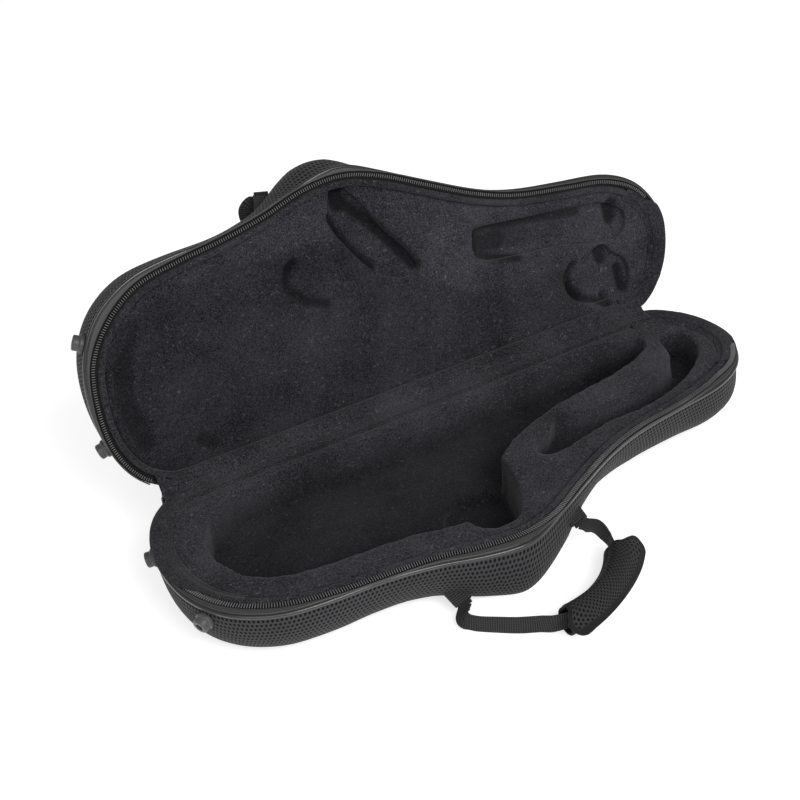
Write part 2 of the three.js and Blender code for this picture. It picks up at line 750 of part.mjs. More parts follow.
// Zip end tabs, and the slider and its pull tab, parked at the hinge's left end
function zipEndGeometry() {
  const reach = zipEndReach;
  const tab = new THREE.BoxGeometry(zipEndLength, reach, zipEndThickness);
  tab.translate(0, -reach / 2, -(pipingDrop - pipingRadius - seatGap) + zipEndThickness / 2);
  return tab;
}

function sliderGeometry() {
  const height = 2 * sliderPlate + sliderThroat;
  const half = sliderLength / 2;
  const taper = sliderLength / 4;
  const outline = [
    [-half, -sliderWidth / 3], [taper - half, -sliderWidth / 2], [half, -sliderWidth / 2],
    [half, sliderWidth / 2], [taper - half, sliderWidth / 2], [-half, sliderWidth / 3],
  ].map(([x, y]) => new THREE.Vector2(x, y));
  const plate = () => new THREE.ExtrudeGeometry(
    new THREE.Shape(outline), { depth: sliderPlate, bevelEnabled: false });
  const upper = plate().translate(0, 0, sliderPlate + sliderThroat);
  const neck = new THREE.BoxGeometry(sliderLength / 3, sliderNeckWidth, height);
  neck.translate(half - sliderLength / 6, 0, height / 2);
  const bail = new THREE.BoxGeometry(bailWidth, bailSpan, bailHeight + sliderPlate);
  bail.translate(0, 0, height + (bailHeight - sliderPlate) / 2);
  const eye = new THREE.BoxGeometry(
    2 * bailWidth, bailSpan - 2 * bailWall, bailHeight - bailWall);
  eye.translate(0, 0, height + (bailHeight - bailWall) / 2);
  const lower = plate().scale(1, innerPlateShare, 1);
  return join(lower, upper, neck, cut(bail, eye));
}

// Pull tab: its top bar runs through the slider's bail, and its eye clears the bail's leg
function pullGeometry() {
  const half = pullWidth / 2;
  const bar = pullThickness / 2;
  const shape = new THREE.Shape();
  const shoulder = (pullEyeWidth + pullWidth) / 4;
  shape.moveTo(-shoulder, bar);
  shape.lineTo(shoulder, bar);
  shape.lineTo(half, -pullEyeLength);
  shape.absarc(0, half - pullLength, half, 0, -Math.PI, true);
  shape.lineTo(-half, -pullEyeLength);
  const window = new THREE.Path();
  window.moveTo(-pullEyeWidth / 2, -bar);
  window.lineTo(-pullEyeWidth / 2, -pullEyeLength - bar);
  window.lineTo(pullEyeWidth / 2, -pullEyeLength - bar);
  window.lineTo(pullEyeWidth / 2, -bar);
  shape.holes.push(window);
  const pull = new THREE.ExtrudeGeometry(
    shape, { depth: pullThickness, bevelEnabled: false, curveSegments: 8 });
  pull.translate(0, 0, -bar);
  return pull;
}

// Assembly
function addPart(group, name, geometry, material) {
  const mesh = new THREE.Mesh(geometry, material);
  mesh.name = name;
  group.add(mesh);
  return mesh;
}

function addHalf(group, prefix, side) {
  addPart(group, `${prefix}_shell`, shellGeometry(side), materials.meshFabric);
  addPart(group, `${prefix}_piping`, pipingGeometry(side), materials.piping);
  addPart(group, `${prefix}_rim_band`, bandGeometry(side), materials.satin);
  addPart(group, `${prefix}_zip_tape`, tapeGeometry(side), materials.tape);
  addPart(group, `${prefix}_zip_coil`, coilGeometry(side), materials.coil);
  addPart(group, `${prefix}_collar`, collarGeometry(side), materials.plush);
  const hinge = addPart(group, `${prefix}_hinge_tape`, hingeStripShape(side, side < 0),
    materials.satin);
  hinge.position.x = hingeMiddle;
  for (const [name, index] of Object.entries(footStations)) {
    const { foot, screw } = footGeometries(side, stations[index]);
    addPart(group, `${prefix}_foot_${name}`, foot, materials.rubber);
    addPart(group, `${prefix}_foot_${name}_screw`, screw, materials.darkMetal);
  }
}

const saxCase = new THREE.Group();
const base = new THREE.Group();
base.position.copy(hingeLine);
saxCase.add(base);
addHalf(base, 'base', -1);
addPart(base, 'base_liner', baseLinerGeometry(), materials.plush);

const lid = new THREE.Group();
lid.position.copy(hingeLine);
lid.rotation.x = -lidOpenAngle;
saxCase.add(lid);
addHalf(lid, 'lid', 1);
addPart(lid, 'lid_liner', lidLinerGeometry(), materials.plush);

const baseAnchors = anchorPair(-1);
const lidAnchors = anchorPair(1);
for (const name of ['left', 'right']) {
  addPart(base, `handle_anchor_${name}`,
    anchorGeometry(-1, baseAnchors[name], baseAnchors.axis), materials.webbing);
  addPart(lid, `lid_strap_anchor_${name}`,
    anchorGeometry(1, lidAnchors[name], lidAnchors.axis), materials.webbing);
}
addPart(base, 'handle_webbing', handleWebbingGeometry(baseAnchors), materials.webbing);
addPart(base, 'handle_grip', gripGeometry(), materials.meshFabric);
addPart(base, 'grip_hook_patch', patchGeometry(0), materials.tape);
addPart(base, 'grip_loop_patch', patchGeometry(1), materials.tape);
addPart(lid, 'lid_strap', lidStrapGeometry(lidAnchors), materials.webbing);

// A group at a station of the hinge's left or right end, its own +Y pointing outwards
function endSpot(index, isLeft) {
  const station = stations[isLeft ? index : frontCount - 1 - index];
  const spot = new THREE.Group();
  spot.position.set(station.x, station.y, 0);
  spot.rotation.z = Math.atan2(-station.nx, station.ny);
  base.add(spot);
  return spot;
}

for (const name of ['left', 'right']) {
  addPart(endSpot(zipEndStation, name === 'left'), `zip_end_${name}`, zipEndGeometry(),
    materials.tape);
}
const sliderSpot = endSpot(sliderStation, true);
const slider = addPart(sliderSpot, 'zip_slider', sliderGeometry(), materials.darkMetal);
slider.position.y = sliderStandOff - 2 * sliderPlate - sliderThroat;
slider.rotation.x = -Math.PI / 2;
const pull = addPart(sliderSpot, 'zip_pull', pullGeometry(), materials.darkMetal);
pull.position.y = sliderStandOff + (bailHeight - bailWall) / 2;
pull.rotation.x = Math.PI / 2;

export default saxCase;
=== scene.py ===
"""An open, shaped instrument case: fabric shells, plush liners, zip, webbing and feet."""
import math

import bpy
import numpy as np
from mathutils import Matrix, Vector


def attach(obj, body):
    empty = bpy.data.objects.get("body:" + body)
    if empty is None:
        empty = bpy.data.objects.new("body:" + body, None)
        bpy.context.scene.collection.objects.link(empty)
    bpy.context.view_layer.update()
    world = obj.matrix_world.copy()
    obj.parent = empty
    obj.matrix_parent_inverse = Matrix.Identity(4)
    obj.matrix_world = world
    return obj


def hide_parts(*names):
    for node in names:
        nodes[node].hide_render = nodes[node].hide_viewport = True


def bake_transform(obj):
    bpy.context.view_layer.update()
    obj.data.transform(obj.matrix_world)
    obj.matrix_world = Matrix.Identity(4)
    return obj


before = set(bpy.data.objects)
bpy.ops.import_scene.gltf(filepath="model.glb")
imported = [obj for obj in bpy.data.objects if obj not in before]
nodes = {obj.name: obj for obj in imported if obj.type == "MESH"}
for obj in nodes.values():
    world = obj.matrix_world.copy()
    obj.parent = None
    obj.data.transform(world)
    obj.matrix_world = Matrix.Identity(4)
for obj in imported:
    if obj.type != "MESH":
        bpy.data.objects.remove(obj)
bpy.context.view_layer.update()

# Sizes of the case, in metres
case_length = 0.650
case_width = 0.250
half_depth = 0.076
piping_drop = 0.006
wall_depth = half_depth - piping_drop
widest_zip = 0.0125
lid_angle = math.radians(105)
hinge = Vector((0, case_width / 2, half_depth))
bottom = {"base": -1, "lid": 1}

# Outline of the case, from the hinge's left end round the front to its right end:
# shares of the length, of the width, how far each wall turns under, and each zip's inset
outline_rows = [
    [0.130, 0.000, 0.24, 0.42, 0.20, 0.20],
    [0.084, 0.012, 0.30, 0.42, 0.20, 0.20],
    [0.038, 0.092, 0.35, 0.37, 0.26, 0.20],
    [0.010, 0.228, 0.38, 0.31, 0.20, 0.26],
    [0.000, 0.405, 0.42, 0.26, 0.32, 0.50],
    [0.010, 0.590, 0.57, 0.28, 0.62, 0.64],
    [0.044, 0.738, 0.71, 0.34, 0.82, 0.90],
    [0.102, 0.834, 0.74, 0.38, 0.80, 0.70],
    [0.173, 0.866, 0.74, 0.55, 0.44, 0.48],
    [0.249, 0.879, 0.78, 0.78, 0.24, 0.20],
    [0.321, 0.917, 0.70, 0.57, 0.55, 0.20],
    [0.384, 0.972, 0.45, 0.24, 0.82, 0.36],
    [0.450, 1.000, 0.23, 0.20, 0.92, 0.74],
    [0.512, 0.934, 0.20, 0.52, 0.22, 0.34],
    [0.584, 0.836, 0.40, 0.88, 0.20, 0.20],
    [0.662, 0.740, 0.74, 1.06, 0.20, 0.22],
    [0.732, 0.686, 0.92, 1.10, 0.22, 0.36],
    [0.820, 0.653, 0.92, 1.08, 0.20, 0.46],
    [0.903, 0.620, 0.76, 0.95, 0.72, 0.52],
    [0.962, 0.533, 0.61, 0.78, 0.48, 0.48],
    [0.997, 0.370, 0.52, 0.62, 0.26, 0.42],
    [0.985, 0.163, 0.40, 0.48, 0.20, 0.28],
    [0.939, 0.022, 0.28, 0.42, 0.20, 0.20],
    [0.890, 0.000, 0.24, 0.42, 0.20, 0.20],
]


# Curves
def eased(value, low, high):
    """0 below low, 1 above high, smooth between."""
    share = np.clip((value - low) / (high - low), 0, 1)
    return share * share * (3 - 2 * share)


def hermite(a, b, slope_a, slope_b, share):
    """Point between a and b with the given slopes at its ends."""
    return (a + slope_a * share
            + (-3 * a + 3 * b - 2 * slope_a - slope_b) * share ** 2
            + (2 * a - 2 * b + slope_a + slope_b) * share ** 3)


def curve_point(points, share, even=False):
    """Point on a smooth curve through points; even keeps the same slope rule for all spans."""
    last = len(points) - 1
    place = share * last
    index = min(int(place), last - 1)
    rest = place - index
    one, two = points[index], points[index + 1]
    before = points[index - 1] if index else 2 * points[0] - points[1]
    after = points[index + 2] if index + 2 <= last else 2 * points[last] - points[last - 1]
    if even:
        return hermite(one, two, (two - before) / 2, (after - one) / 2, rest)
    gap_b = math.sqrt(np.linalg.norm(two - one)) or 1
    gap_a = math.sqrt(np.linalg.norm(one - before)) or gap_b
    gap_c = math.sqrt(np.linalg.norm(after - two)) or gap_b
    slope_a = ((one - before) / gap_a - (two - before) / (gap_a + gap_b) + (two - one) / gap_b)
    slope_b = ((two - one) / gap_b - (after - one) / (gap_b + gap_c) + (after - two) / gap_c)
    return hermite(one, two, slope_a * gap_b, slope_b * gap_b, rest)


def unit(vector):
    return vector / np.linalg.norm(vector)


def curve_slope(points, share):
    """Direction of the curve at a share of its way."""
    step = 1e-4
    end = curve_point(points, min(1, share + step))
    return unit(end - curve_point(points, max(0, share - step)))


outline_places = [np.array([(row[0] - 0.5) * case_length, -row[1] * case_width])
                  for row in outline_rows]
outline_sections = [np.array([row[2] * wall_depth, row[3] * wall_depth,
                              row[4] * widest_zip, row[5] * widest_zip])
                    for row in outline_rows]


def station(share):
    """Place, outward direction and sections of the outline at a share of its way."""
    place = curve_point(outline_places, share)
    slope = curve_slope(outline_places, share)
    section = curve_point(outline_sections, share, even=True)
    out = np.array([slope[1], -slope[0]])
    if share in (0, 1):
        out = np.array([0.0, 1.0])
    return place, out, section


front_steps = 3 * (len(outline_rows) - 1)
ring = [station(index / front_steps) for index in range(front_steps + 1)]
for back in range(1, 4):
    place = ring[front_steps][0] * (1 - back / 4) + ring[0][0] * back / 4
    ring.append((place, ring[0][1], ring[0][2]))
ring_places = np.array([entry[0] for entry in ring])
ring_outs = np.array([entry[1] for entry in ring])
ring_sections = np.array([entry[2] for entry in ring])
ring_steps = np.roll(ring_places, -1, axis=0) - ring_places
ring_lengths = np.concatenate([[0], np.cumsum(np.linalg.norm(ring_steps, axis=1))])


def shut(points, half):
    """Points of a half in the frame of the shut case, from the hinge."""
    local = points - np.array(hinge)
    if half == "lid":
        turn = np.array(Matrix.Rotation(lid_angle, 3, "X"))
        local = local @ turn.T
    return local


def opened(points, half):
    """Points of the shut case, from the hinge, back in their place on the open one."""
    points = np.asarray(points, float)
    if half == "lid":
        turn = np.array(Matrix.Rotation(-lid_angle, 3, "X"))
        points = points @ turn.T
    return points + np.array(hinge)


def along_outline(flat):
    """For points in the plane of the outline: way along it, inset and share of a station."""
    tangents = np.stack([-ring_outs[:, 1], ring_outs[:, 0]], axis=1)
    away = flat[:, None, :] - ring_places[None, :, :]
    ahead = (away * tangents[None]).sum(2)
    inset = -(away * ring_outs[None]).sum(2)
    ahead_next = np.roll(ahead, -1, axis=1)
    inside = (ahead * ahead_next <= 0)
    cost = np.where(inside, np.abs(inset), 10 + np.linalg.norm(away, axis=2))
    index = cost.argmin(1)
    rows = np.arange(len(flat))
    first, second = ahead[rows, index], ahead_next[rows, index]
    gap = np.where(np.abs(first - second) < 1e-9, 1, first - second)
    part = np.clip(first / gap, 0, 1)
    following = (index + 1) % len(ring_places)
    way = ring_lengths[index] + part * np.linalg.norm(ring_steps[index], axis=1)
    depth = inset[rows, index] * (1 - part) + inset[rows, following] * part
    return way, depth, index + part


# Objects and their meshes
merge_distance = 1e-5
panel_edge = 2e-4


def alone(piece):
    """Leaves one object selected and active."""
    bpy.ops.object.select_all(action="DESELECT")
    piece.hide_viewport = False
    piece.select_set(True)
    bpy.context.view_layer.objects.active = piece


def edited(piece, operator, **settings):
    """Runs an edit mode operator on the whole mesh."""
    alone(piece)
    bpy.ops.object.mode_set(mode="EDIT")
    bpy.ops.mesh.select_all(action="SELECT")
    operator(**settings)
    bpy.ops.object.mode_set(mode="OBJECT")
    return piece


def copy_of(node, name):
    """A merged copy of a CAD node's mesh, to be modelled further."""
    piece = bpy.data.objects.new(name, nodes[node].data.copy())
    piece.data.materials.clear()
    bpy.context.scene.collection.objects.link(piece)
    edited(piece, bpy.ops.mesh.remove_doubles, threshold=merge_distance)
    return edited(piece, bpy.ops.mesh.tris_convert_to_quads,
                  face_threshold=math.radians(30), shape_threshold=math.radians(50))


def applied(piece, kind, **settings):
    """Adds a modifier with its settings and applies it."""
    alone(piece)
    modifier = piece.modifiers.new(kind.title(), kind)
    for key, value in settings.items():
        setattr(modifier, key, value)
    bpy.ops.object.modifier_apply(modifier=modifier.name)
    return piece


def rounded(piece, sharp, crease, levels):
    """Subdivides a piece smoothly, keeping its sharp edges by a crease."""
    alone(piece)
    bpy.ops.object.mode_set(mode="EDIT")
    bpy.ops.mesh.select_mode(type="EDGE")
    bpy.ops.mesh.select_all(action="DESELECT")
    bpy.ops.mesh.edges_select_sharp(sharpness=math.radians(sharp))
    bpy.ops.transform.edge_crease(value=crease)
    bpy.ops.object.mode_set(mode="OBJECT")
    applied(piece, "SUBSURF", levels=levels, render_levels=levels)
    bpy.ops.object.shade_smooth()
    return piece


def bevelled(piece, width, segments=2):
    """Rounds the sharp edges of a hard piece."""
    applied(piece, "BEVEL", width=width, segments=segments, limit_method="ANGLE",
            angle_limit=math.radians(35))
    alone(piece)
    bpy.ops.object.shade_smooth_by_angle(angle=math.radians(35))
    return piece


def new_grid(name, across, along):
    """A flat grid, and the shares of its two ways at each vertex."""
    bpy.ops.object.select_all(action="DESELECT")
    bpy.ops.mesh.primitive_grid_add(x_subdivisions=across, y_subdivisions=along, size=1)
    piece = bpy.context.object
    piece.name = name
    return piece, vertex_places(piece)[:, :2] + 0.5


def settled(piece):
    """Turns a piece's faces outwards and smooths their shading."""
    edited(piece, bpy.ops.mesh.normals_make_consistent, inside=False)
    bpy.ops.object.shade_smooth()
    return piece


def vertex_places(piece):
    places = np.empty(3 * len(piece.data.vertices))
    piece.data.vertices.foreach_get("co", places)
    return places.reshape(-1, 3)


def move_vertices(piece, places):
    piece.data.vertices.foreach_set("co", np.asarray(places, float).ravel())
    piece.data.update()


def write_uv(piece, across, along, wrap=None):
    """Writes a UV map from two numbers at each vertex; across may wrap round a closed way."""
    mesh = piece.data
    layer = mesh.uv_layers.get("Cloth") or mesh.uv_layers.new(name="Cloth")
    corners = np.empty(len(mesh.loops), int)
    mesh.loops.foreach_get("vertex_index", corners)
    u, v = across[corners], along[corners]
    if wrap:
        starts = np.empty(len(mesh.polygons), int)
        mesh.polygons.foreach_get("loop_start", starts)
        highest = np.maximum.reduceat(u, starts)
        counts = np.diff(np.append(starts, len(u)))
        high = np.repeat(highest, counts)
        u = np.where(high - u > wrap / 2, u + wrap, u)
    layer.data.foreach_set("uv", np.stack([u, v], axis=1).ravel())
    mesh.uv_layers.active = layer
    return piece


def cloth_uv(piece, half, panel=True):
    """UV map in metres: way along the outline, and way down the wall or across the panel."""
    local = shut(vertex_places(piece), half)
    way, depth, share = along_outline(local[:, :2])
    drop = np.abs(local[:, 2])
    lower = np.floor(share).astype(int) % len(ring)
    turn = ring_sections[lower, 0 if half == "base" else 1]
    angle = np.arcsin(np.clip((drop - piping_drop) / wall_depth, 0, 1))
    down = angle * (wall_depth + turn) / 2 + np.clip(depth - turn, 0, None)
    write_uv(piece, way, down, wrap=ring_lengths[-1])
    if panel:
        flat_panel_uv(piece, local, drop)
    return piece


def flat_panel_uv(piece, local, drop):
    """Gives the flat outer panel a straight weave of its own."""
    mesh = piece.data
    layer = mesh.uv_layers["Cloth"]
    for polygon in mesh.polygons:
        if min(drop[corner] for corner in polygon.vertices) < half_depth - panel_edge:
            continue
        for loop in polygon.loop_indices:
            corner = mesh.loops[loop].vertex_index
            layer.data[loop].uv = (local[corner, 0], local[corner, 1])


def finished(piece, material, body, slot, *replaced):
    """Gives a piece its material and its body, and hides the nodes it stands for; its slot
    argument is not used.
    """
    piece.data.materials.clear()
    piece.data.materials.append(materials[material])
    if body:
        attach(piece, body)
    if replaced:
        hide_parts(*replaced)
    return piece


# Materials
def add_node(tree, kind, inputs=None, **settings):
    """A shader node with its settings; an input is a value or another node's output."""
    node = tree.nodes.new(kind)
    for key, value in settings.items():
        setattr(node, key, value)
    for key, value in (inputs or {}).items():
        if isinstance(value, bpy.types.NodeSocket):
            tree.links.new(value, node.inputs[key])
        else:
            node.inputs[key].default_value = value
    return node


def maths(tree, operation, *values, clamp=False):
    node = add_node(tree, "ShaderNodeMath", dict(enumerate(values)), operation=operation)
    node.use_clamp = clamp
    return node.outputs[0]


def vectors(tree, operation, *values):
    node = add_node(tree, "ShaderNodeVectorMath", dict(enumerate(values)), operation=operation)
    return node.outputs["Value" if operation == "LENGTH" else "Vector"]


def mixed(tree, factor, first, second):
    node = add_node(tree, "ShaderNodeMix", {"Factor": factor, "A": first, "B": second},
                    data_type="RGBA")
    return node.outputs["Result"]


def ramped(tree, value, low, high):
    """0 below low, 1 above high, smooth between."""
    node = add_node(tree, "ShaderNodeMapRange",
                    {"Value": value, "From Min": low, "From Max": high},
                    interpolation_type="SMOOTHSTEP")
    return node.outputs["Result"]


def noise(tree, vector, scale, detail=2.0, roughness=0.5):
    node = add_node(tree, "ShaderNodeTexNoise", {
        "Vector": vector, "Scale": scale, "Detail": detail, "Roughness": roughness})
    return node.outputs["Fac"]


socket_kinds = {"v": "NodeSocketVector", "f": "NodeSocketFloat", "c": "NodeSocketColor"}


def shader_group(name, inputs, outputs, build):
    """A node group with named sockets, filled by build(tree, inputs) that returns its outputs."""
    group = bpy.data.node_groups.new(name, "ShaderNodeTree")
    for label, kind in inputs.items():
        group.interface.new_socket(label, in_out="INPUT", socket_type=socket_kinds[kind])
    for label, kind in outputs.items():
        group.interface.new_socket(label, in_out="OUTPUT", socket_type=socket_kinds[kind])
    entry = group.nodes.new("NodeGroupInput")
    leave = group.nodes.new("NodeGroupOutput")
    made = build(group, {label: entry.outputs[label] for label in inputs})
    for label, socket in made.items():
        group.links.new(socket, leave.inputs[label])
    return group


def dotted_mesh(tree, given):
    """Spacer mesh: round holes in staggered rows on a finely knitted ground."""
    wobble = add_node(tree, "ShaderNodeTexNoise", {
        "Vector": given["Vector"], "Scale": 90.0, "Detail": 1.0}).outputs["Color"]
    shifted = vectors(tree, "MULTIPLY_ADD", wobble, given["Wobble"], given["Vector"])
    place = vectors(tree, "DIVIDE", shifted, given["Pitch"])
    rows = (1.0, 1.7321, 1.0)
    spread = []
    for offset in ((0.0, 0.0, 0.0), (0.5, 0.866, 0.0)):
        moved = vectors(tree, "ADD", place, offset)
        cell = vectors(tree, "FRACTION", vectors(tree, "DIVIDE", moved, rows))
        centred = vectors(tree, "SUBTRACT", cell, (0.5, 0.5, 0.0))
        scaled = vectors(tree, "MULTIPLY", centred, (1.0, 1.7321, 0.0))
        spread.append(vectors(tree, "LENGTH", scaled))
    nearest = maths(tree, "MINIMUM", *spread)
    edge = maths(tree, "ADD", given["Dot"], 0.10)
    ground = ramped(tree, nearest, given["Dot"], edge)
    knit = noise(tree, given["Vector"], 1500.0, 2.0)
    patchy = noise(tree, given["Vector"], 16.0, 3.0)
    tone = maths(tree, "MULTIPLY_ADD", knit, 0.5, maths(tree, "MULTIPLY", patchy, 0.5))
    light = mixed(tree, tone, given["Ground"], given["Raised"])
    colour = mixed(tree, ground, given["Hole"], light)
    height = maths(tree, "MULTIPLY_ADD", knit, 0.25, ground)
    rough = maths(tree, "MULTIPLY_ADD", ground, -0.25, 0.95)
    return {"Colour": colour, "Height": height, "Roughness": rough}


def plush_pile(tree, given):
    """Short dense pile: brushed patches, a fine grain and paler fluff here and there."""
    brushed = noise(tree, given["Vector"], 14.0, 4.0, 0.6)
    fine = noise(tree, given["Vector"], 780.0, 2.0, 0.6)
    fluff = noise(tree, given["Vector"], 260.0, 2.0, 0.8)
    tone = maths(tree, "MULTIPLY_ADD", fine, 0.75, maths(tree, "MULTIPLY", brushed, 0.35))
    grain = ramped(tree, tone, 0.36, 0.74)
    pile = mixed(tree, grain, given["Deep"], given["Tip"])
    flecks = maths(tree, "MULTIPLY", ramped(tree, fluff, 0.60, 0.74), given["Fluff"])
    colour = mixed(tree, flecks, pile, given["Fleck"])
    height = maths(tree, "MULTIPLY_ADD", fine, 1.0, maths(tree, "MULTIPLY", brushed, 0.8))
    return {"Colour": colour, "Height": height}


def ribbing(tree, given):
    """Woven ribs across the first direction of the vector, each of fine twisted yarn, with
    painted highlight on the crowns and painted shade in the grooves.
    """
    parts = add_node(tree, "ShaderNodeSeparateXYZ", {0: given["Vector"]})
    way = maths(tree, "DIVIDE", parts.outputs["X"], given["Pitch"])
    wave = maths(tree, "SINE", maths(tree, "MULTIPLY", way, math.tau))
    crown = maths(tree, "MULTIPLY_ADD", wave, 0.5, 0.5)
    strand = maths(tree, "DIVIDE", parts.outputs["Y"], given["Strand"])
    twist = maths(tree, "SINE", maths(tree, "MULTIPLY", strand, math.tau))
    yarn = maths(tree, "MULTIPLY_ADD", twist, 0.18, crown)
    worn = noise(tree, given["Vector"], 60.0, 3.0)
    # The colour follows each rib's crown: painted highlight on top, painted shade between the
    # ribs; the noise adds a random tone.
    tone = maths(tree, "MULTIPLY_ADD", worn, 0.3, maths(tree, "MULTIPLY", yarn, 0.75), clamp=True)
    colour = mixed(tree, tone, given["Low"], given["High"])
    return {"Colour": colour, "Height": yarn}


def rubbed_grain(tree, given):
    """Fine grain with paler rubbed patches."""
    fine = noise(tree, given["Vector"], given["Scale"], 3.0, 0.6)
    patch = noise(tree, given["Vector"], 22.0, 3.0, 0.6)
    rub = maths(tree, "MULTIPLY", ramped(tree, patch, 0.5, 0.75), given["Wear"])
    shade = mixed(tree, maths(tree, "MULTIPLY_ADD", fine, 0.6, rub, clamp=True),
                  given["Colour"], given["Rubbed"])
    rough = maths(tree, "MULTIPLY_ADD", fine, 0.2, given["Roughness"])
    return {"Colour": shade, "Height": fine, "Roughness": rough}


def stitches(tree, given):
    """Raised stitches along the first direction, in one row at a given place across."""
    parts = add_node(tree, "ShaderNodeSeparateXYZ", {0: given["Vector"]})
    way = maths(tree, "FRACT", maths(tree, "DIVIDE", parts.outputs["X"], given["Length"]))
    off_centre = maths(tree, "ABSOLUTE", maths(tree, "SUBTRACT", way, 0.5))
    inside = maths(tree, "SUBTRACT", 1.0, ramped(tree, off_centre, 0.32, 0.42))
    across = maths(tree, "ABSOLUTE", maths(tree, "SUBTRACT", parts.outputs["Y"], given["Place"]))
    near = maths(tree, "SUBTRACT", 1.0, ramped(tree, across, 0.0002, 0.0006))
    return {"Mask": maths(tree, "MULTIPLY", inside, near)}


groups = {
    "mesh": shader_group(
        "Dotted spacer mesh",
        {"Vector": "v", "Pitch": "v", "Dot": "f", "Wobble": "v",
         "Ground": "c", "Raised": "c", "Hole": "c"},
        {"Colour": "c", "Height": "f", "Roughness": "f"}, dotted_mesh),
    "plush": shader_group(
        "Plush pile",
        {"Vector": "v", "Deep": "c", "Tip": "c", "Fleck": "c", "Fluff": "f"},
        {"Colour": "c", "Height": "f"}, plush_pile),
    "ribs": shader_group(
        "Woven ribs",
        {"Vector": "v", "Pitch": "f", "Strand": "f", "Low": "c", "High": "c"},
        {"Colour": "c", "Height": "f"}, ribbing),
    "grain": shader_group(
        "Rubbed grain",
        {"Vector": "v", "Scale": "f", "Wear": "f", "Roughness": "f",
         "Colour": "c", "Rubbed": "c"},
        {"Colour": "c", "Height": "f", "Roughness": "f"}, rubbed_grain),
    "stitches": shader_group(
        "Row of stitches", {"Vector": "v", "Length": "f", "Place": "f"}, {"Mask": "f"}, stitches),
}


def grey(level, tint=0.0):
    """Linear colour from a display grey of 0 to 255, a little blue where tint is above 0."""
    def linear(value):
        value = value / 255
        return value / 12.92 if value <= 0.04045 else ((value + 0.055) / 1.055) ** 2.4
    return (linear(level), linear(level), linear(level + tint), 1.0)


def new_material(name, **constants):
    """A material whose shader has the given plain values, and its node tree."""
    material = bpy.data.materials.new(name)
    material.use_nodes = True
    tree = material.node_tree
    shader = tree.nodes["Principled BSDF"]
    for key, value in constants.items():
        shader.inputs[key.replace("_", " ")].default_value = value
    return material, tree


def place_group(tree, key, **values):
    """Outputs of a group node with its inputs set."""
    return add_node(tree, "ShaderNodeGroup", values, node_tree=groups[key]).outputs


def dressed(material, out, depth, strength=0.8, colour=None, height=None):
    """Links a group's colour, roughness and height, or others given, to a material's shader."""
    tree = material.node_tree
    shader = tree.nodes["Principled BSDF"]
    tree.links.new(colour or out["Colour"], shader.inputs["Base Color"])
    if "Roughness" in out:
        tree.links.new(out["Roughness"], shader.inputs["Roughness"])
    bump = add_node(tree, "ShaderNodeBump", {
        "Height": height or out["Height"], "Distance": depth, "Strength": strength})
    tree.links.new(bump.outputs["Normal"], shader.inputs["Normal"])
    return material


def cloth_vector(tree):
    return add_node(tree, "ShaderNodeUVMap", uv_map="Cloth").outputs["UV"]


def object_vector(tree):
    return add_node(tree, "ShaderNodeTexCoord").outputs["Object"]


def mesh_fabric(name, pitch, dot, low, high):
    material, tree = new_material(
        name, Specular_IOR_Level=0.15, Sheen_Weight=0.05, Sheen_Roughness=0.4)
    out = place_group(tree, "mesh", Vector=cloth_vector(tree), Pitch=pitch,
                      Dot=dot, Wobble=(0.0006, 0.0006, 0.0),
                      Ground=low, Raised=high, Hole=grey(12))
    return dressed(material, out, 0.0008)


def plush(name, deep, tip, fleck, fluff, painted_shade_strength=0.0):
    material, tree = new_material(
        name, Roughness=1.0, Specular_IOR_Level=0.05, Sheen_Weight=0.1, Sheen_Roughness=0.5)
    out = place_group(tree, "plush", Vector=object_vector(tree), Deep=deep, Tip=tip,
                      Fleck=fleck, Fluff=fluff)
    # The liner's shade attribute, times the strength given, darkens the pile towards near-black:
    # painted shade in pockets, creases, the lid's tray and towards its left.
    depth = add_node(tree, "ShaderNodeAttribute", attribute_name="Depth").outputs["Fac"]
    shade = maths(tree, "MULTIPLY", depth, painted_shade_strength)
    return dressed(material, out, 0.0006, colour=mixed(tree, shade, out["Colour"], grey(8, 2)))


def ribbed(name, pitch, strand, low, high, depth, roughness):
    material, tree = new_material(
        name, Roughness=roughness, Specular_IOR_Level=0.2, Sheen_Weight=0.05)
    out = place_group(tree, "ribs", Vector=cloth_vector(tree), Pitch=pitch, Strand=strand,
                      Low=low, High=high)
    return dressed(material, out, depth)


def grained(name, colour, rubbed, scale, wear, roughness, depth, **constants):
    material, tree = new_material(name, **constants)
    out = place_group(tree, "grain", Vector=object_vector(tree), Scale=scale, Wear=wear,
                      Roughness=roughness, Colour=colour, Rubbed=rubbed)
    return dressed(material, out, depth, 0.6)


def stitched_satin(name):
    """Smooth satin binding with a row of stitches near the piping."""
    material, tree = new_material(
        name, Specular_IOR_Level=0.35, Sheen_Weight=0.05, Sheen_Roughness=0.3)
    out = place_group(tree, "grain", Vector=object_vector(tree), Scale=900.0, Wear=0.2,
                      Roughness=0.42, Colour=grey(56), Rubbed=grey(80))
    row = place_group(tree, "stitches", Vector=cloth_vector(tree), Length=0.0032, Place=0.0022)
    return dressed(material, out, 0.0003, 0.6,
                   colour=mixed(tree, row["Mask"], out["Colour"], grey(38)),
                   height=maths(tree, "MULTIPLY_ADD", row["Mask"], 0.6, out["Height"]))


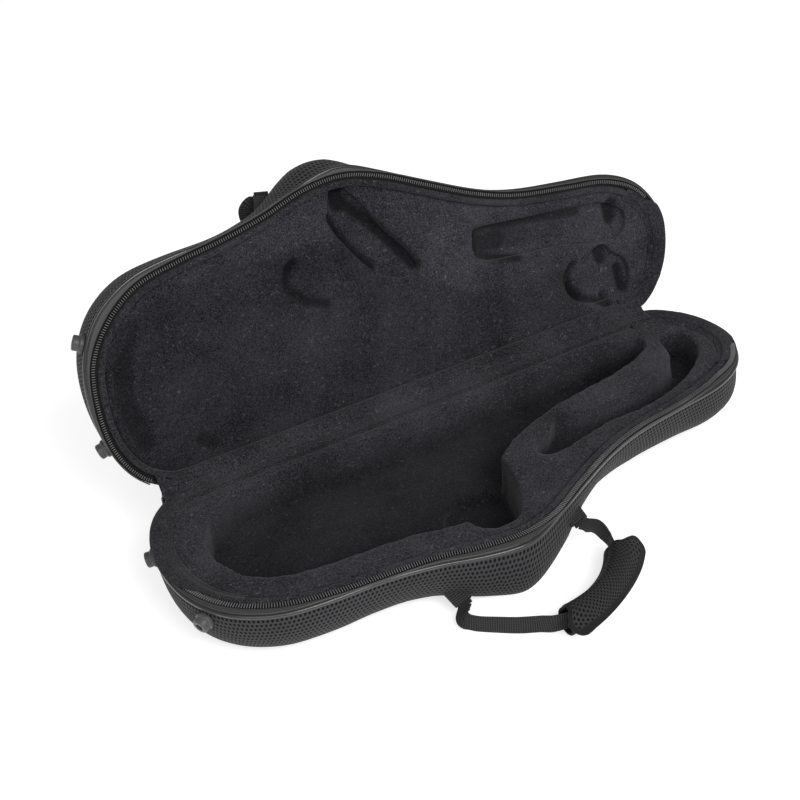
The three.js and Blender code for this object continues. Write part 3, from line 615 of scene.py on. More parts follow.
materials = {
    "mesh": mesh_fabric("dotted mesh fabric", (0.0041, 0.0054, 1.0), 0.25,
                        grey(36, 2), grey(82, 2)),
    "grip mesh": mesh_fabric("grip mesh fabric", (0.0030, 0.0031, 1.0), 0.24,
                             grey(24, 1), grey(62, 1)),
    # Its last number sets how strongly the painted shade darkens the liner's pile.
    "plush": plush("liner plush", grey(14, 4), grey(67, 5), grey(108, 4), 0.5, 0.9),
    "collar plush": plush("collar plush", grey(14, 4), grey(65, 4), grey(102, 3), 0.45),
    # Ribbed cloths: the low colour is the painted shade between ribs, the high colour the painted
    # highlight on their crowns.
    "webbing": ribbed("ribbed webbing", 0.0021, 0.0030, grey(4), grey(62), 0.0005, 0.75),
    "tape": ribbed("zip tape", 0.0009, 0.0012, grey(4), grey(16), 0.0002, 0.8),
    "binding": ribbed("binding tape", 0.0012, 0.0020, grey(8), grey(30), 0.0003, 0.75),
    "satin": stitched_satin("satin band"),
    "piping": grained("piping vinyl", grey(30), grey(52), 700.0, 0.3, 0.20, 0.0001,
                      Specular_IOR_Level=0.5, Coat_Weight=0.3, Coat_Roughness=0.22),
    "teeth": grained("zip teeth nylon", grey(80), grey(136), 500.0, 0.4, 0.25, 0.0001,
                     Specular_IOR_Level=0.5),
    "rubber": grained("foot rubber", grey(50), grey(92), 900.0, 0.5, 0.34, 0.0002,
                      Specular_IOR_Level=0.5),
    "metal": grained("dark metal", grey(58), grey(128), 1200.0, 0.6, 0.22, 0.00005,
                     Metallic=0.85),
}


# Shells, piping, bands, tapes and collars
piping_growth = 0.0005
band_sink = 0.0005
fuller_from = piping_drop + 0.004
fuller_below = 0.045
fuller_reach = 0.08
# Where a cover bulges past its plain section or draws in: stations, and metres outwards
fullness = {
    "base": [(25, 0), (27, -0.0015), (28.5, -0.0035), (30, -0.0035), (31.5, -0.0015), (32.5, 0),
             (41, 0), (42, -0.002), (43, -0.004), (45, -0.0055), (46.5, -0.003), (48, 0),
             (50, 0.0015), (52, 0.0025), (54, 0.004), (56, 0.0055), (58, 0.005), (60, 0.003),
             (62, 0)],
    "lid": [(30, 0), (32.5, 0.0035), (34, 0.006), (36, 0.006), (38, 0.003), (40, 0)],
}


def fuller(piece, half):
    """Moves the lower part of a wall by the fullness of its half."""
    local = shut(vertex_places(piece), half)
    _, inset, share = along_outline(local[:, :2])
    stops, amounts = zip(*fullness[half])
    index = np.floor(share).astype(int) % len(ring)
    low = eased(np.abs(local[:, 2]), fuller_from, fuller_below)
    turn = ring_sections[index, 0 if half == "base" else 1]
    push = np.interp(share, stops, amounts) * low * (1 - eased(inset - turn, 0, fuller_reach))
    local[:, :2] += ring_outs[index] * push[:, None]
    move_vertices(piece, opened(local, half))
    return piece


def make_half(half):
    """Cover, piping, satin band, zip tape and collar of one half."""
    shell = rounded(copy_of(f"{half}_shell", f"{half}_cover"), 35, 0.9, 2)
    cloth_uv(shell, half)
    fuller(shell, half)
    finished(shell, "mesh", half, "mesh_fabric", f"{half}_shell")
    piping = copy_of(f"{half}_piping", f"{half}_piping_cord")
    rounded(piping, 80, 0.0, 2)
    edited(piping, bpy.ops.transform.shrink_fatten, value=piping_growth)
    finished(piping, "piping", half, "piping", f"{half}_piping")
    band = rounded(copy_of(f"{half}_rim_band", f"{half}_satin_band"), 50, 0.5, 2)
    band_uv(band, half)
    lowered(band, half)
    finished(band, "satin", half, "satin", f"{half}_rim_band")
    tape = bevelled(copy_of(f"{half}_zip_tape", f"{half}_woven_tape"), 0.0002, 1)
    cloth_uv(tape, half, panel=False)
    finished(tape, "tape", half, "tape", f"{half}_zip_tape")
    collar = rounded(copy_of(f"{half}_collar", f"{half}_plush_collar"), 50, 0.25, 2)
    ruffled(collar, 0.0009, 0.012)
    finished(collar, "collar plush", half, "plush", f"{half}_collar")


def lowered(band, half):
    """Draws the outer edge of a satin band down onto its piping."""
    local = shut(vertex_places(band), half)
    _, inset, _ = along_outline(local[:, :2])
    local[:, 2] += bottom[half] * band_sink * (1 - eased(inset, 0.0005, 0.0035))
    move_vertices(band, opened(local, half))


def band_uv(piece, half):
    """UV map of the satin band: way along the outline, and way in from its outer edge."""
    local = shut(vertex_places(piece), half)
    way, depth, _ = along_outline(local[:, :2])
    return write_uv(piece, way, depth, wrap=ring_lengths[-1])


def ruffled(piece, strength, size):
    """Lets a surface swell and sink a little, as stuffed or glued fabric does."""
    texture = bpy.data.textures.new(f"{piece.name}_swell", "CLOUDS")
    texture.noise_scale = size
    texture.noise_depth = 1
    return applied(piece, "DISPLACE", texture=texture, strength=strength, mid_level=0.5,
                   texture_coords="LOCAL")


for half in bottom:
    make_half(half)


# Zip teeth, from one outline station to another, where no plush lip lies over them
teeth_run = {"base": (12.6, 59.0), "lid": (5.0, 58.0)}
tooth_sizes = {"base": (0.00082, 0.0054, 0.0013), "lid": (0.00066, 0.0034, 0.0012)}
tooth_pitch = 0.00238
tooth_rise = 0.0015
head_start = 0.0012
head_length = 0.0012


def run_frames(half):
    """Places along the zip, one tooth's pitch apart, with their directions."""
    column = 2 if half == "base" else 3
    first, last = teeth_run[half]
    fine = [station(share / front_steps) for share in np.linspace(first, last, 1200)]
    centres = np.array([place - out * section[column] for place, out, section in fine])
    outs = np.array([out for _, out, _ in fine])
    ways = np.concatenate([[0], np.cumsum(np.linalg.norm(np.diff(centres, axis=0), axis=1))])
    frames = []
    for stop in (np.arange(int(ways[-1] / tooth_pitch)) + 0.5) * tooth_pitch:
        centre = [np.interp(stop, ways, centres[:, axis]) for axis in (0, 1)]
        out = np.array([np.interp(stop, ways, outs[:, axis]) for axis in (0, 1)])
        out /= np.linalg.norm(out)
        frames.append((np.array([*centre, bottom[half] * tooth_rise]), np.array([*out, 0.0])))
    return frames


def model_tooth(sizes):
    """One rib of the coil: a rounded bar across the tape with a thicker head."""
    bpy.ops.object.select_all(action="DESELECT")
    bpy.ops.mesh.primitive_cube_add(size=1)
    tooth = bpy.context.object
    tooth.name = "tooth"
    tooth.scale = sizes
    bpy.ops.object.transform_apply(location=False, rotation=False, scale=True)
    applied(tooth, "BEVEL", width=0.0003, segments=2, limit_method="ANGLE")
    places = vertex_places(tooth)
    head = np.clip((-places[:, 1] - head_start) / head_length, 0, 1)
    places[:, 0] *= 1 + 0.35 * head
    places[:, 2] *= 1 + 0.15 * head
    move_vertices(tooth, places)
    return tooth


def row_of_teeth(half):
    """The tooth copied all along the zip and joined to one piece."""
    tooth = model_tooth(tooth_sizes[half])
    pattern = vertex_places(tooth)
    faces = [list(polygon.vertices) for polygon in tooth.data.polygons]
    bpy.data.objects.remove(tooth)
    places, polygons = [], []
    up = np.array([0.0, 0.0, 1.0])
    for index, (centre, out) in enumerate(run_frames(half)):
        along = np.cross(out, up)
        spots = (centre + pattern[:, :1] * along + pattern[:, 1:2] * out
                 + pattern[:, 2:3] * up)
        polygons += [[corner + index * len(pattern) for corner in face] for face in faces]
        places.append(spots)
    mesh = bpy.data.meshes.new(f"{half}_zip_teeth")
    mesh.from_pydata(opened(np.concatenate(places), half).tolist(), [], polygons)
    row = bpy.data.objects.new(mesh.name, mesh)
    bpy.context.scene.collection.objects.link(row)
    settled(row)
    bpy.ops.object.shade_smooth_by_angle(angle=math.radians(50))
    return finished(row, "teeth", half, "coil", f"{half}_zip_coil")


for half in bottom:
    row_of_teeth(half)


# Plush liners
liner_voxels = {"base": 0.0030, "lid": 0.0026}
liner_drop = 0.006
front_depth = 0.030
recess_share = 0.35
dent_depth = 0.0045
tray_depth = 0.0012
tray_end = 0.225
# Creases and dents pressed into the lid's liner and darkened with painted shade: half their
# width, how strong they are, in depth and in painted shade, and their points in the plane of the
# outline
dents = [
    (0.0055, 1.0, [(-0.0406, -0.2285), (-0.0321, -0.2109), (-0.0119, -0.1879), (0.0108, -0.1568),
                   (0.0276, -0.1304)]),
    (0.0085, 1.0, [(-0.0390, -0.2260), (-0.0389, -0.2130)]),
    (0.0030, 1.0, [(-0.0527, -0.2038), (-0.0471, -0.1869), (-0.0329, -0.1619),
                   (-0.0173, -0.1414)]),
    (0.0045, 0.8, [(-0.0992, -0.1729), (-0.1060, -0.1690)]),
    (0.0035, 0.6, [(-0.1060, -0.1690), (-0.1112, -0.1600), (-0.1105, -0.1494),
                   (-0.0951, -0.1322), (-0.0738, -0.1227)]),
    (0.0070, 1.0, [(0.2630, -0.1230), (0.2640, -0.1070)]),
    (0.0120, 0.85, [(0.1064, -0.1277), (0.1251, -0.1251)]),
    (0.0110, 0.5, [(0.1251, -0.1251), (0.1547, -0.1202)]),
    (0.0100, 0.25, [(0.1547, -0.1202), (0.1970, -0.1136)]),
    (0.0035, 0.8, [(0.1002, -0.1436), (0.1281, -0.1392), (0.1638, -0.1347), (0.2247, -0.1259)]),
    (0.0030, 1.0, [(0.1002, -0.1430), (0.0985, -0.1180)]),
    (0.0025, 0.9, [(0.1036, -0.1146), (0.1213, -0.1068), (0.1443, -0.0994)]),
    (0.0055, 1.0, [(0.2055, -0.0720), (0.1990, -0.0655), (0.1970, -0.0564), (0.2005, -0.0437),
                   (0.2098, -0.0350)]),
    (0.0025, 0.9, [(0.2098, -0.0333), (0.2266, -0.0254), (0.2429, -0.0141)]),
    (0.0065, 0.9, [(0.2426, -0.0760), (0.2447, -0.0673)]),
    (0.0045, 1.0, [(0.2628, -0.0513), (0.2652, -0.0275)]),
    (0.0025, 0.9, [(0.2387, -0.0271), (0.2433, -0.0163)]),
    (0.0100, 0.4, [(-0.2692, -0.1627), (-0.2835, -0.1412), (-0.2913, -0.0968),
                   (-0.2838, -0.0527)]),
    (0.0070, 0.4, [(-0.2303, -0.0355), (-0.2217, -0.0287)]),
]
# Edge of the lid's shallow tray, past which the liner lies lower and is darkened with painted
# shade
tray_edge = [(-0.290, -0.140), (-0.2496, -0.1856), (-0.2029, -0.1865), (-0.1538, -0.1921),
             (-0.1067, -0.1854), (-0.0598, -0.1868), (-0.0173, -0.1380), (0.0252, -0.1195),
             (0.0841, -0.0833), (0.1897, -0.0756), (tray_end, -0.015)]
# Where the lid's recesses lie: their middle lines and half their width
recess_areas = [(0.034, [(-0.045, -0.225), (0.025, -0.127)]),
                (0.038, [(0.105, -0.125), (0.270, -0.105)]),
                (0.050, [(0.228, -0.052), (0.236, -0.052)])]


def near_line(flat, line):
    """How far points lie from a bent line."""
    best = np.full(len(flat), 1.0)
    for start, end in zip(line, line[1:]):
        start, step = np.array(start), np.subtract(end, start)
        along = np.clip((flat - start) @ step / step.dot(step), 0, 1)
        best = np.minimum(best, np.linalg.norm(flat - start - along[:, None] * step, axis=1))
    return best


def make_liner(half):
    """Foam block with soft edges at its pockets, covered in plush."""
    liner = copy_of(f"{half}_liner", f"{half}_plush_liner")
    voxel = liner_voxels[half]
    applied(liner, "REMESH", mode="VOXEL", voxel_size=voxel)
    applied(liner, "SMOOTH", factor=0.5, iterations=3)
    fuller(liner, half)
    if half == "lid":
        dark = dented_with_painted_shade(liner)
    else:
        drop = np.abs(shut(vertex_places(liner), half)[:, 2])
        # Painted shade: the pile is darkened more the deeper it lies in the base's pockets.
        dark = 0.6 * eased(drop, 0.012, 0.050)
    layer = liner.data.attributes.new("Depth", "FLOAT", "POINT")
    layer.data.foreach_set("value", dark)
    bpy.ops.object.shade_smooth()
    ruffled(liner, 0.0012, 0.03)
    return finished(liner, "plush", half, "plush", f"{half}_liner")


def dented_with_painted_shade(liner):
    """Shallow soft recesses and pressed creases of the lid's liner; gives the painted shade at
    each place, also over the tray and towards the lid's left.
    """
    local = shut(vertex_places(liner), "lid")
    flat = local[:, :2]
    front = local[:, 2] < front_depth
    depth = local[:, 2] - liner_drop
    for reach, line in recess_areas:
        inside = front & (near_line(flat, line) < reach) & (depth > 0)
        local[inside, 2] = liner_drop + recess_share * depth[inside]
    dark = np.zeros(len(local))
    # Painted shade along each crease and dent, strongest at its middle line.
    for reach, strength, line in dents:
        press = strength * (1 - eased(near_line(flat, line), 0.6 * reach, reach + 0.003))
        dark = np.maximum(dark, press)
    past = flat[:, 1] - np.interp(flat[:, 0], *zip(*tray_edge))
    tray = eased(past, -0.004, 0.010) * (flat[:, 0] < tray_end)
    local[:, 2] += np.where(front, dent_depth * dark + tray_depth * tray, 0)
    move_vertices(liner, opened(local, "lid"))
    # Painted shade: the pile is darker towards the lid's left end, and darker over the tray.
    shade = 0.16 * eased(-flat[:, 0], -0.10, 0.28) + 0.26 * tray
    return np.clip(0.8 * dark + shade, 0, 1)


for half in bottom:
    make_liner(half)


# Plush lips that lie over the zip near the hinge: for each, its half, its stations, where it
# is at its widest, and how it ends
lip_profile = [(0.0165, 0.0058), (0.0125, 0.0044), (0.0085, 0.0016), (0.0046, 0.0004),
               (0.0030, 0.0002), (0.0010, 0.0003), (-0.0006, 0.0012), (-0.0012, 0.0028)]
lip_thickness = 0.0008
least_lip = 0.45
lip_hem = 0.0012
lip_hem_way = 0.0068
lips = [("base", "right", 56.5, 60.5, 69.0), ("lid", "right", 56.0, 60.0, 69.0),
        ("base", "left", 18.5, 11.5, 4.6)]


def plush_lip(half, name, first, widest, last):
    """A lip of plush that grows out of the collar and lies over the zip up to the edge."""
    lip, grid = new_grid(f"{half}_plush_lip_{name}", 90, 14)
    column = 2 if half == "base" else 3
    profile = [np.array(point) for point in lip_profile]
    spots = []
    for x, y in grid:
        stop = first + (last - first) * x
        place, out, section = station(min(1, stop / front_steps))
        width = eased((stop - first) / (widest - first), 0, 1)
        inset, drop = curve_point(profile, y * max(least_lip, width))
        inset += section[column] * np.clip((inset + lip_hem) / lip_hem_way, 0, 1)
        spots.append([*(place - out * inset), bottom[half] * drop])
    move_vertices(lip, opened(spots, half))
    applied(lip, "SOLIDIFY", thickness=lip_thickness, offset=-bottom[half])
    settled(lip)
    ruffled(lip, 0.0003, 0.01)
    return finished(lip, "collar plush", half, "plush")


for lip in lips:
    plush_lip(*lip)


# Fabric over the hinge
hinge_fabric_thickness = 0.0008
hinge_strip_width = 0.02
# Steps of the outline at which the rims leave the hinge's line, along it
recess_steps = [5, 4, 3, 2, 0, front_steps, front_steps - 2, front_steps - 3]
lid_way = np.array([-math.cos(lid_angle), math.sin(lid_angle)])


def rim_recess(x):
    """How far the rims have turned away from the hinge's line at a place along it."""
    return float(np.interp(x, ring_places[recess_steps, 0], -ring_places[recess_steps, 1]))


def hinge_strip(name, section, x_low, x_high):
    """A strip along the hinge with a given section of y and z, from one end to the other.
    Where the rims turn away, its two edges follow them and its middle follows half as far."""
    strip, grid = new_grid(name, 200, 4 * (len(section) - 1))
    points = [np.array(point) for point in section]
    base_way = np.array([-1.0, 0.0])
    middle_way = unit(base_way + lid_way) / 2
    spots = []
    for along, across in grid:
        x = x_low + along * (x_high - x_low)
        shift = middle_way * (1 - abs(2 * across - 1))
        shift = shift + base_way * max(0, 1 - 2 * across) + lid_way * max(0, 2 * across - 1)
        spots.append([x, *(curve_point(points, across) + shift * rim_recess(x))])
    move_vertices(strip, spots)
    write_uv(strip, grid[:, 0] * (x_high - x_low), grid[:, 1] * hinge_strip_width)
    applied(strip, "SOLIDIFY", thickness=hinge_fabric_thickness, offset=0)
    return settled(strip)


cover_section = [(0.1095, 0.0752), (0.1145, 0.0755), (0.1188, 0.0756), (0.1222, 0.0766),
                 (0.1246, 0.0789), (0.1260, 0.0822), (0.1272, 0.0860), (0.1283, 0.0903)]
cover = hinge_strip("hinge_plush_cover", cover_section, -0.286, 0.277)
finished(cover, "collar plush", None, "plush")
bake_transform(cover)

fold_section = [(0.1250, 0.0716), (0.1262, 0.0726), (0.1272, 0.0736), (0.1284, 0.0744),
                (0.1296, 0.0748)]
fold = hinge_strip("hinge_outer_fabric", fold_section, -0.236, 0.249)
finished(fold, "binding", None, "satin", "base_hinge_tape", "lid_hinge_tape")
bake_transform(fold)


# Webbing handles
webbing_width = 0.020
webbing_thickness = 0.002
webbing_bevel = 0.0006
width_loss = 0.0006
thickness_loss = 0.0002
end_narrowing = 0.34
bead_radius = 0.00182
bead_length = 0.014
stub_root = 0.004
stub_taper = 0.12
anchor_stand_off = 0.008
anchor_shares = {"left": 0.458, "right": 0.5942}
anchor_drops = {"base": {"left": 0.059, "right": 0.035}, "lid": {"left": 0.063, "right": 0.058}}


def wall_place(half, share, drop):
    """Place and outward direction on the outside of a wall, by a share of the way round."""
    index, part = divmod(share * front_steps, 1)
    pair = zip(ring[int(index)], ring[int(index) + 1])
    place, out, section = [one + (two - one) * part for one, two in pair]
    turn = section[0 if half == "base" else 1]
    sine = (drop - piping_drop) / wall_depth
    cosine = math.sqrt(1 - sine * sine)
    point = np.array([*(place - out * turn * (1 - cosine)), bottom[half] * drop])
    return point, unit(np.array([*(out * cosine / turn), bottom[half] * sine / wall_depth]))


def anchor_pair(half):
    """Pivots of the two anchors, the axis between them, and their ways out of the wall."""
    pivots, outs = {}, {}
    for end, share in anchor_shares.items():
        point, outs[end] = wall_place(half, share, anchor_drops[half][end])
        pivots[end] = point + anchor_stand_off * outs[end]
    axis = unit(pivots["right"] - pivots["left"])
    return pivots, axis, {end: unit(out - axis * out.dot(axis)) for end, out in outs.items()}


anchors = {half: anchor_pair(half) for half in bottom}
# Upper and lower edge of the handle's webbing where it twists, and its middle where it stands
handle_start = [
    ((0.3523, 0.9834, 0.950), (0.3382, 0.9409, 0.250)),
    ((0.3481, 1.0085, 1.025), (0.3396, 0.9761, 0.175)),
    ((0.3544, 1.0293, 1.030), (0.3481, 1.0082, 0.100)),
    ((0.3788, 1.0752, 1.030), (0.3750, 1.0655, 0.050)),
]
handle_middle = [(0.401, 1.114, 0.53), (0.424, 1.150, 0.56), (0.440, 1.188, 0.70)]
handle_end = [
    ((0.5971, 0.9656, 1.275), (0.6001, 0.9366, 0.350)),
    ((0.5968, 0.9349, 1.500), (0.5961, 0.9059, 0.575)),
    ((0.5911, 0.9171, 1.800), (0.5894, 0.8850, 0.900)),
]
lid_strap_way = [
    (0.351, 0.903, 0.940), (0.339, 0.885, 0.990), (0.337, 0.857, 1.060), (0.344, 0.797, 1.120),
    (0.362, 0.720, 1.180), (0.402, 0.620, 1.230), (0.470, 0.570, 1.255), (0.532, 0.600, 1.240),
    (0.562, 0.680, 1.200), (0.562, 0.770, 1.100),
]


def case_place(along, across, height):
    """Place by shares of the case's length and width, at a height over the parting plane."""
    return np.array([(along - 0.5) * case_length, -across * case_width, height])


def floor_place(along, across, height):
    """The same with its height over the floor in shares of the webbing's width."""
    return case_place(along, across, height * webbing_width - half_depth)


grip_height = 0.745
grip_line = [floor_place(0.4530, 1.206, grip_height), floor_place(0.5415, 1.200, grip_height),
             floor_place(0.5908, 1.020, grip_height)]


def grip_point(share):
    """Place on the grip's middle line."""
    rest = 1 - share
    return (rest * rest * grip_line[0] + 2 * rest * share * grip_line[1]
            + share * share * grip_line[2])


def grip_slope(share):
    """Direction of the grip's middle line."""
    first, second = grip_line[1] - grip_line[0], grip_line[2] - grip_line[1]
    return unit((1 - share) * first + share * second)


def strap(name, half, rows):
    """Ribbon of webbing from anchor to anchor through rows of a place and the direction of its
    width; its edges are rounded, and a bead lies in each end loop."""
    pivots, axis, _ = anchors[half]
    points = [place for place, _ in rows]
    widths = [unit(width) for _, width in rows]
    ribbon, grid = new_grid(name, 260, 6)
    shares, across = grid[:, 0].round(6), grid[:, 1] - 0.5
    levels = np.unique(shares)
    centres = np.array([curve_point(points, share) for share in levels])
    ways = np.concatenate([[0], np.cumsum(np.linalg.norm(np.diff(centres, axis=0), axis=1))])
    frames = {}
    for share, centre, way in zip(levels, centres, ways):
        slope = curve_slope(points, share)
        wide = curve_point(widths, share)
        narrow = 1 - end_narrowing * (1 - eased(min(way, ways[-1] - way), 0.004, 0.016))
        frames[share] = (centre, narrow * unit(wide - slope * wide.dot(slope)), way)
    middles, widths, ways = [np.array(column) for column in zip(*[frames[one] for one in shares])]
    spots = middles + widths * across[:, None] * (webbing_width - width_loss)
    move_vertices(ribbon, opened(spots, half))
    write_uv(ribbon, ways, across * webbing_width)
    applied(ribbon, "SOLIDIFY", thickness=webbing_thickness - thickness_loss, offset=0)
    applied(ribbon, "BEVEL", width=webbing_bevel, segments=2, limit_method="ANGLE",
            angle_limit=math.radians(50))
    bpy.ops.object.shade_smooth_by_angle(angle=math.radians(50))
    for pivot in pivots.values():
        add_bead(ribbon, opened(pivot[None], half)[0], opened(axis[None], half)[0] - hinge)
    return ribbon


def add_bead(ribbon, place, axis):
    """Round loop at the end of a strap, where it turns on its anchor."""
    bpy.ops.object.select_all(action="DESELECT")
    turn = Vector((0, 0, 1)).rotation_difference(Vector(axis))
    bpy.ops.mesh.primitive_cylinder_add(
        vertices=24, radius=bead_radius, depth=bead_length, location=place,
        rotation=turn.to_euler())
    bead = bpy.context.object
    bpy.ops.object.transform_apply(location=True, rotation=True, scale=True)
    bead.data.uv_layers[0].name = "Cloth"
    ribbon.select_set(True)
    bpy.context.view_layer.objects.active = ribbon
    bpy.ops.object.join()


def fit_stub(piece, half, end):
    """Lets a stub reach deeper into its wall and narrows its free end; its UV runs from the
    pivot into the wall."""
    pivots, axis, aways = anchors[half]
    away = aways[end]
    local = shut(vertex_places(piece), half) - pivots[end]
    local -= stub_root * eased(-(local @ away), 0.004, 0.006)[:, None] * away
    free = eased(local @ away, -0.005, -0.002)
    local -= (stub_taper * free * (local @ axis))[:, None] * axis
    move_vertices(piece, opened(local + pivots[end], half))
    return write_uv(piece, local @ away, local @ axis)


def edge_rows(rows):
    """Places and widths from pairs of edge points."""
    made = []
    for high, low in rows:
        high, low = floor_place(*high), floor_place(*low)
        made.append(((high + low) / 2, high - low))
    return made


upright = np.array([0.0, 0.0, 1.0])
pivots, _, _ = anchors["base"]
handle_rows = ([(pivots["left"], np.array([0.943, -0.268, 0.196]))]
               + edge_rows(handle_start)
               + [(floor_place(*row), upright) for row in handle_middle]
               + [(grip_point(share), upright) for share in (0.1, 0.36, 0.64, 0.88)]
               + edge_rows(handle_end)
               + [(pivots["right"], np.array([0.738, 0.143, 0.66]))])
handle = strap("handle_strap", "base", handle_rows)
finished(handle, "webbing", "handle", "webbing", "handle_webbing")

loop = [case_place(along, across, away * half_depth) for along, across, away in lid_strap_way]
loop_centre = np.mean(loop, axis=0)
loop_rows = [(place, (loop_centre - place) * np.array([1.0, 1.0, 0.0])) for place in loop]
pivots, axis, _ = anchors["lid"]
loop_rows = [(pivots["left"], axis), *loop_rows, (pivots["right"], axis)]
lid_loop = strap("lid_loop_strap", "lid", loop_rows)
finished(lid_loop, "webbing", "lid_strap_body", "webbing", "lid_strap")

for prefix, half in (("handle", "base"), ("lid_strap", "lid")):
    for end in ("left", "right"):
        name = f"{prefix}_anchor_{end}"
        stub = bevelled(copy_of(name, f"{name}_stub"), 0.0004, 2)
        fit_stub(stub, half, end)
        finished(stub, "webbing", half, "webbing", name)


# Padded grip
grip_length = 0.122
wrap_radius = 0.0125
bore_width = 0.0098
bore_height = 0.0114
pad_thickness = 0.0032
wrap_start = math.radians(70)
wrap_step = math.radians(15)
flap_leave = 26 * wrap_step
wrap_turn = 29.2 * wrap_step
layer_gap = 0.0025
flap_near = 0.010
flap_far = 0.018
flap_corner = 0.016
flap_spread = 0.003
flap_widening = 0.001
flap_bow = 0.006
border_width = 0.0048
seam_loss = 0.0008
puff_frames = 20
most_puff = 0.0018


def flap_lap(turn, longest):
    """How far the flap runs past the tube, with a quarter round at its free corner."""
    corner = 5 * wrap_step
    into = max(0, turn - wrap_turn + corner) / corner
    spread = longest * eased(turn, 23 * wrap_step, 27 * wrap_step)
    return spread - flap_corner * (1 - math.sqrt(max(0, 1 - into * into)))


def wrap_point(turn, share):
    """Place on the middle of the wrap's sheet, at a turn and a share of its length."""
    lift = eased(turn, 20 * wrap_step, 23 * wrap_step) * (pad_thickness + layer_gap)
    reach = pad_thickness / 2 + lift
    angle = wrap_start - min(turn, flap_leave)
    straight = max(0, turn - flap_leave) * (bore_width + reach)
    near, far = -flap_lap(turn, flap_near), flap_lap(turn, flap_far)
    blend_near, blend_far = eased(-share, -0.17, 0), eased(share, 0.83, 1)
    slope = grip_slope(share)
    outer = np.array([slope[1], -slope[0], 0])
    lap = near * blend_near + far * blend_far
    spread = flap_spread + flap_widening * share - flap_bow * math.sin(math.pi * share)
    spread *= eased(turn, 24 * wrap_step, wrap_turn)
    across = (bore_width + reach) * math.cos(angle) + straight * math.sin(angle)
    height = (bore_height + reach) * math.sin(angle) - straight * math.cos(angle)
    return grip_point(share) + slope * lap + outer * (spread + across) + np.array([0, 0, height])


def make_grip():
    """Padded sheet wound round the webbing, which a cloth simulation settles a little."""
    grip, grid = new_grid("grip_wrap", *(((120, 100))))
    spots = np.array([wrap_point(x * wrap_turn, y) for x, y in grid])
    move_vertices(grip, opened(spots, "base"))
    sheet = np.array([wrap_turn * wrap_radius, grip_length])
    write_uv(grip, *(grid * sheet).T)
    edge = (np.minimum(grid, 1 - grid) * sheet).min(1)
    border = [all(edge[corner] < border_width for corner in polygon.vertices)
              for polygon in grip.data.polygons]
    applied(grip, "SOLIDIFY", thickness=pad_thickness - seam_loss, offset=0)
    puff(grip, grid, edge)
    return grip, border


def puff(grip, grid, edge):
    """Cloth simulation with light pressure; borders, lapped part and inner layer are held."""
    rest = vertex_places(grip)
    inside = (edge > border_width) & (grid[:, 0] * wrap_turn >= 8 * wrap_step)
    free = np.zeros(len(rest), bool)
    free[:2 * len(grid)] = np.tile(inside, 2) & outer_side(rest, len(grid))
    held = grip.vertex_groups.new(name="held")
    held.add([int(index) for index in np.flatnonzero(~free)], 1.0, "REPLACE")
    alone(grip)
    cloth = grip.modifiers.new("Padding", "CLOTH")
    cloth.settings.use_pressure = True
    cloth.settings.uniform_pressure_force = 4
    cloth.settings.vertex_group_mass = "held"
    cloth.settings.effector_weights.gravity = 0
    cloth.settings.quality = 6
    cloth.point_cache.frame_start = 1
    cloth.point_cache.frame_end = puff_frames
    for moment in range(1, puff_frames + 1):
        bpy.context.scene.frame_set(moment)
    bpy.ops.object.modifier_apply(modifier=cloth.name)
    bpy.context.scene.frame_set(1)
    shift = vertex_places(grip) - rest
    size = np.linalg.norm(shift, axis=1, keepdims=True)
    move_vertices(grip, rest + shift * np.minimum(1, most_puff / np.maximum(size, 1e-9)))


def outer_side(rest, count):
    """Which points of the doubled sheet lie on its outer side."""
    line = opened([grip_point(share) for share in np.linspace(0, 1, 40)], "base")
    reach = np.linalg.norm(rest[:2 * count, None] - line[None], axis=2).min(1)
    first, second = reach[:count], reach[count:]
    return np.concatenate([first > second, second >= first])


grip, border = make_grip()
finished(grip, "grip mesh", "handle", "mesh_fabric", "handle_grip")
grip.data.materials.append(materials["binding"])
for index, polygon in enumerate(grip.data.polygons):
    inner = index < 2 * len(border) and border[index % len(border)]
    polygon.material_index = 1 if inner or index >= 2 * len(border) else 0
applied(grip, "SUBSURF", levels=1, render_levels=1)
bpy.ops.object.shade_smooth()

for name in ("grip_hook_patch", "grip_loop_patch"):
    patch = copy_of(name, f"{name}_pad")
    finished(patch, "collar plush", "handle", "webbing", name)


# Feet, screws, slider, pull tab and end tabs
for half in bottom:
    for end in ("back", "front"):
        name = f"{half}_foot_{end}"
        foot = bevelled(copy_of(name, f"{name}_bumper"), 0.0006, 3)
        finished(foot, "rubber", half, "rubber", name)
        screw = bevelled(copy_of(f"{name}_screw", f"{name}_screw_head"), 0.0003, 2)
        finished(screw, "metal", half, "dark_metal", f"{name}_screw")

slider = bevelled(copy_of("zip_slider", "zip_slider_body"), 0.0005, 3)
finished(slider, "metal", "base", "dark_metal", "zip_slider")
tab = bevelled(copy_of("zip_pull", "zip_pull_tab"), 0.0003, 2)
finished(tab, "metal", "pull_tab", "dark_metal", "zip_pull")
for end in ("left", "right"):
    stop = bevelled(copy_of(f"zip_end_{end}", f"zip_end_tab_{end}"), 0.0005, 2)
    cloth_uv(stop, "base", panel=False)
    finished(stop, "binding", "base", "tape", f"zip_end_{end}")


# Floor, light and camera
white = (1.0, 1.0, 1.0, 1.0)
floor_glow = 0.62
world_light = 0.32
lamp_size = 1.8
lamp_target = Vector((0, 0.1, 0.1))


def seen_by(tree, *rays):
    """1 for rays of the named kinds, else 0."""
    path = add_node(tree, "ShaderNodeLightPath")
    seen = path.outputs[rays[0]]
    for ray in rays[1:]:
        seen = maths(tree, "MAXIMUM", seen, path.outputs[ray])
    return seen


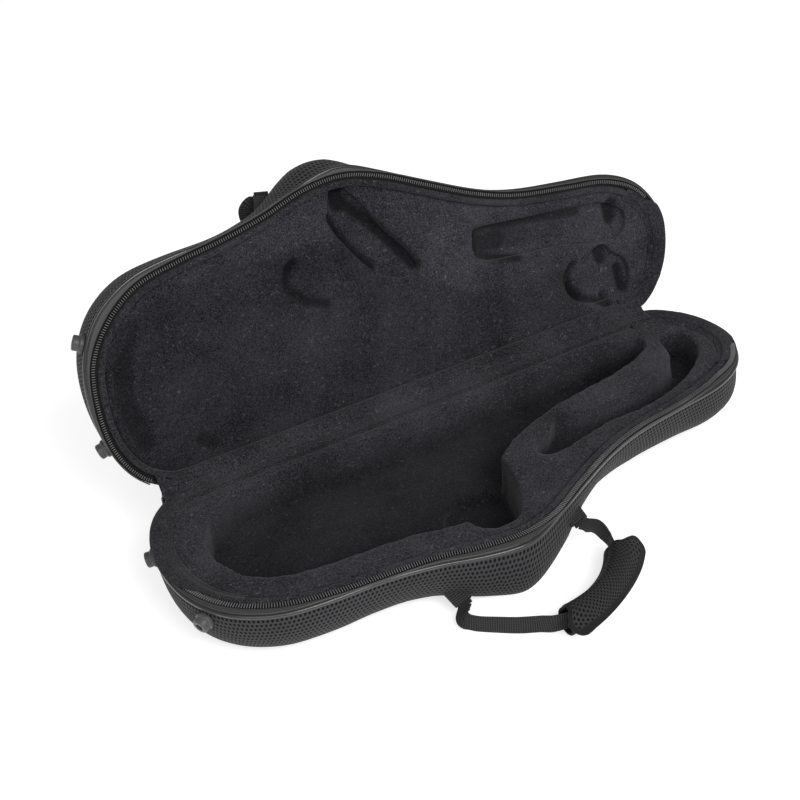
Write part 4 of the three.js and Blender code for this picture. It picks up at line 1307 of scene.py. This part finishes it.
def white_floor():
    """Pale floor that keeps the object's shadow and is white where it is lit."""
    material = bpy.data.materials.new("pale floor")
    material.use_nodes = True
    tree = material.node_tree
    tree.nodes.clear()
    seen = seen_by(tree, "Is Camera Ray", "Is Glossy Ray", "Is Transmission Ray")
    glow = add_node(tree, "ShaderNodeEmission", {
        "Color": white, "Strength": maths(tree, "MULTIPLY", seen, floor_glow)})
    matt = add_node(tree, "ShaderNodeBsdfDiffuse", {"Color": (0.80, 0.80, 0.80, 1.0)})
    both = add_node(tree, "ShaderNodeAddShader", {
        0: matt.outputs["BSDF"], 1: glow.outputs["Emission"]})
    add_node(tree, "ShaderNodeOutputMaterial", {"Surface": both.outputs["Shader"]})
    return material


def studio_world():
    """Even grey light, white where the camera sees it."""
    world = bpy.data.worlds.new("studio")
    world.use_nodes = True
    tree = world.node_tree
    tree.nodes.clear()
    seen = seen_by(tree, "Is Camera Ray", "Is Transmission Ray")
    level = maths(tree, "MULTIPLY_ADD", seen, 1 - world_light, world_light)
    sky = add_node(tree, "ShaderNodeBackground", {
        "Color": white, "Strength": level})
    add_node(tree, "ShaderNodeOutputWorld", {"Surface": sky.outputs["Background"]})
    bpy.context.scene.world = world


def lamp(name, place, power):
    """Large soft lamp at a place, turned to the case."""
    data = bpy.data.lights.new(name, "AREA")
    data.shape = "SQUARE"
    data.size = lamp_size
    data.energy = power
    item = bpy.data.objects.new(name, data)
    item.location = place
    item.rotation_euler = (lamp_target - Vector(place)).to_track_quat("-Z", "Y").to_euler()
    bpy.context.scene.collection.objects.link(item)


bpy.ops.object.select_all(action="DESELECT")
bpy.ops.mesh.primitive_plane_add(size=14, location=(0, 0, -0.0002))
floor = bpy.context.object
floor.name = "floor"
floor.data.materials.append(white_floor())
studio_world()
lamp("key_light", (0.3, -2.5, 2.3), 76)
lamp("fill_light", (-1.6, -1.7, 1.8), 21)

view = bpy.data.cameras.new("camera")
view.lens = 66.15
view.sensor_width = 36
camera = bpy.data.objects.new("camera", view)
bpy.context.scene.collection.objects.link(camera)
camera_place = Matrix.Translation((-0.5656, -0.9681, 0.9341))
camera_turns = [("Z", -26.34), ("X", 90 - 35.02), ("Z", -5.33)]
camera.matrix_world = camera_place
for axis, degrees in camera_turns:
    camera.matrix_world = camera.matrix_world @ Matrix.Rotation(math.radians(degrees), 4, axis)
bpy.context.scene.camera = camera
bpy.context.scene.view_settings.view_transform = "Standard"
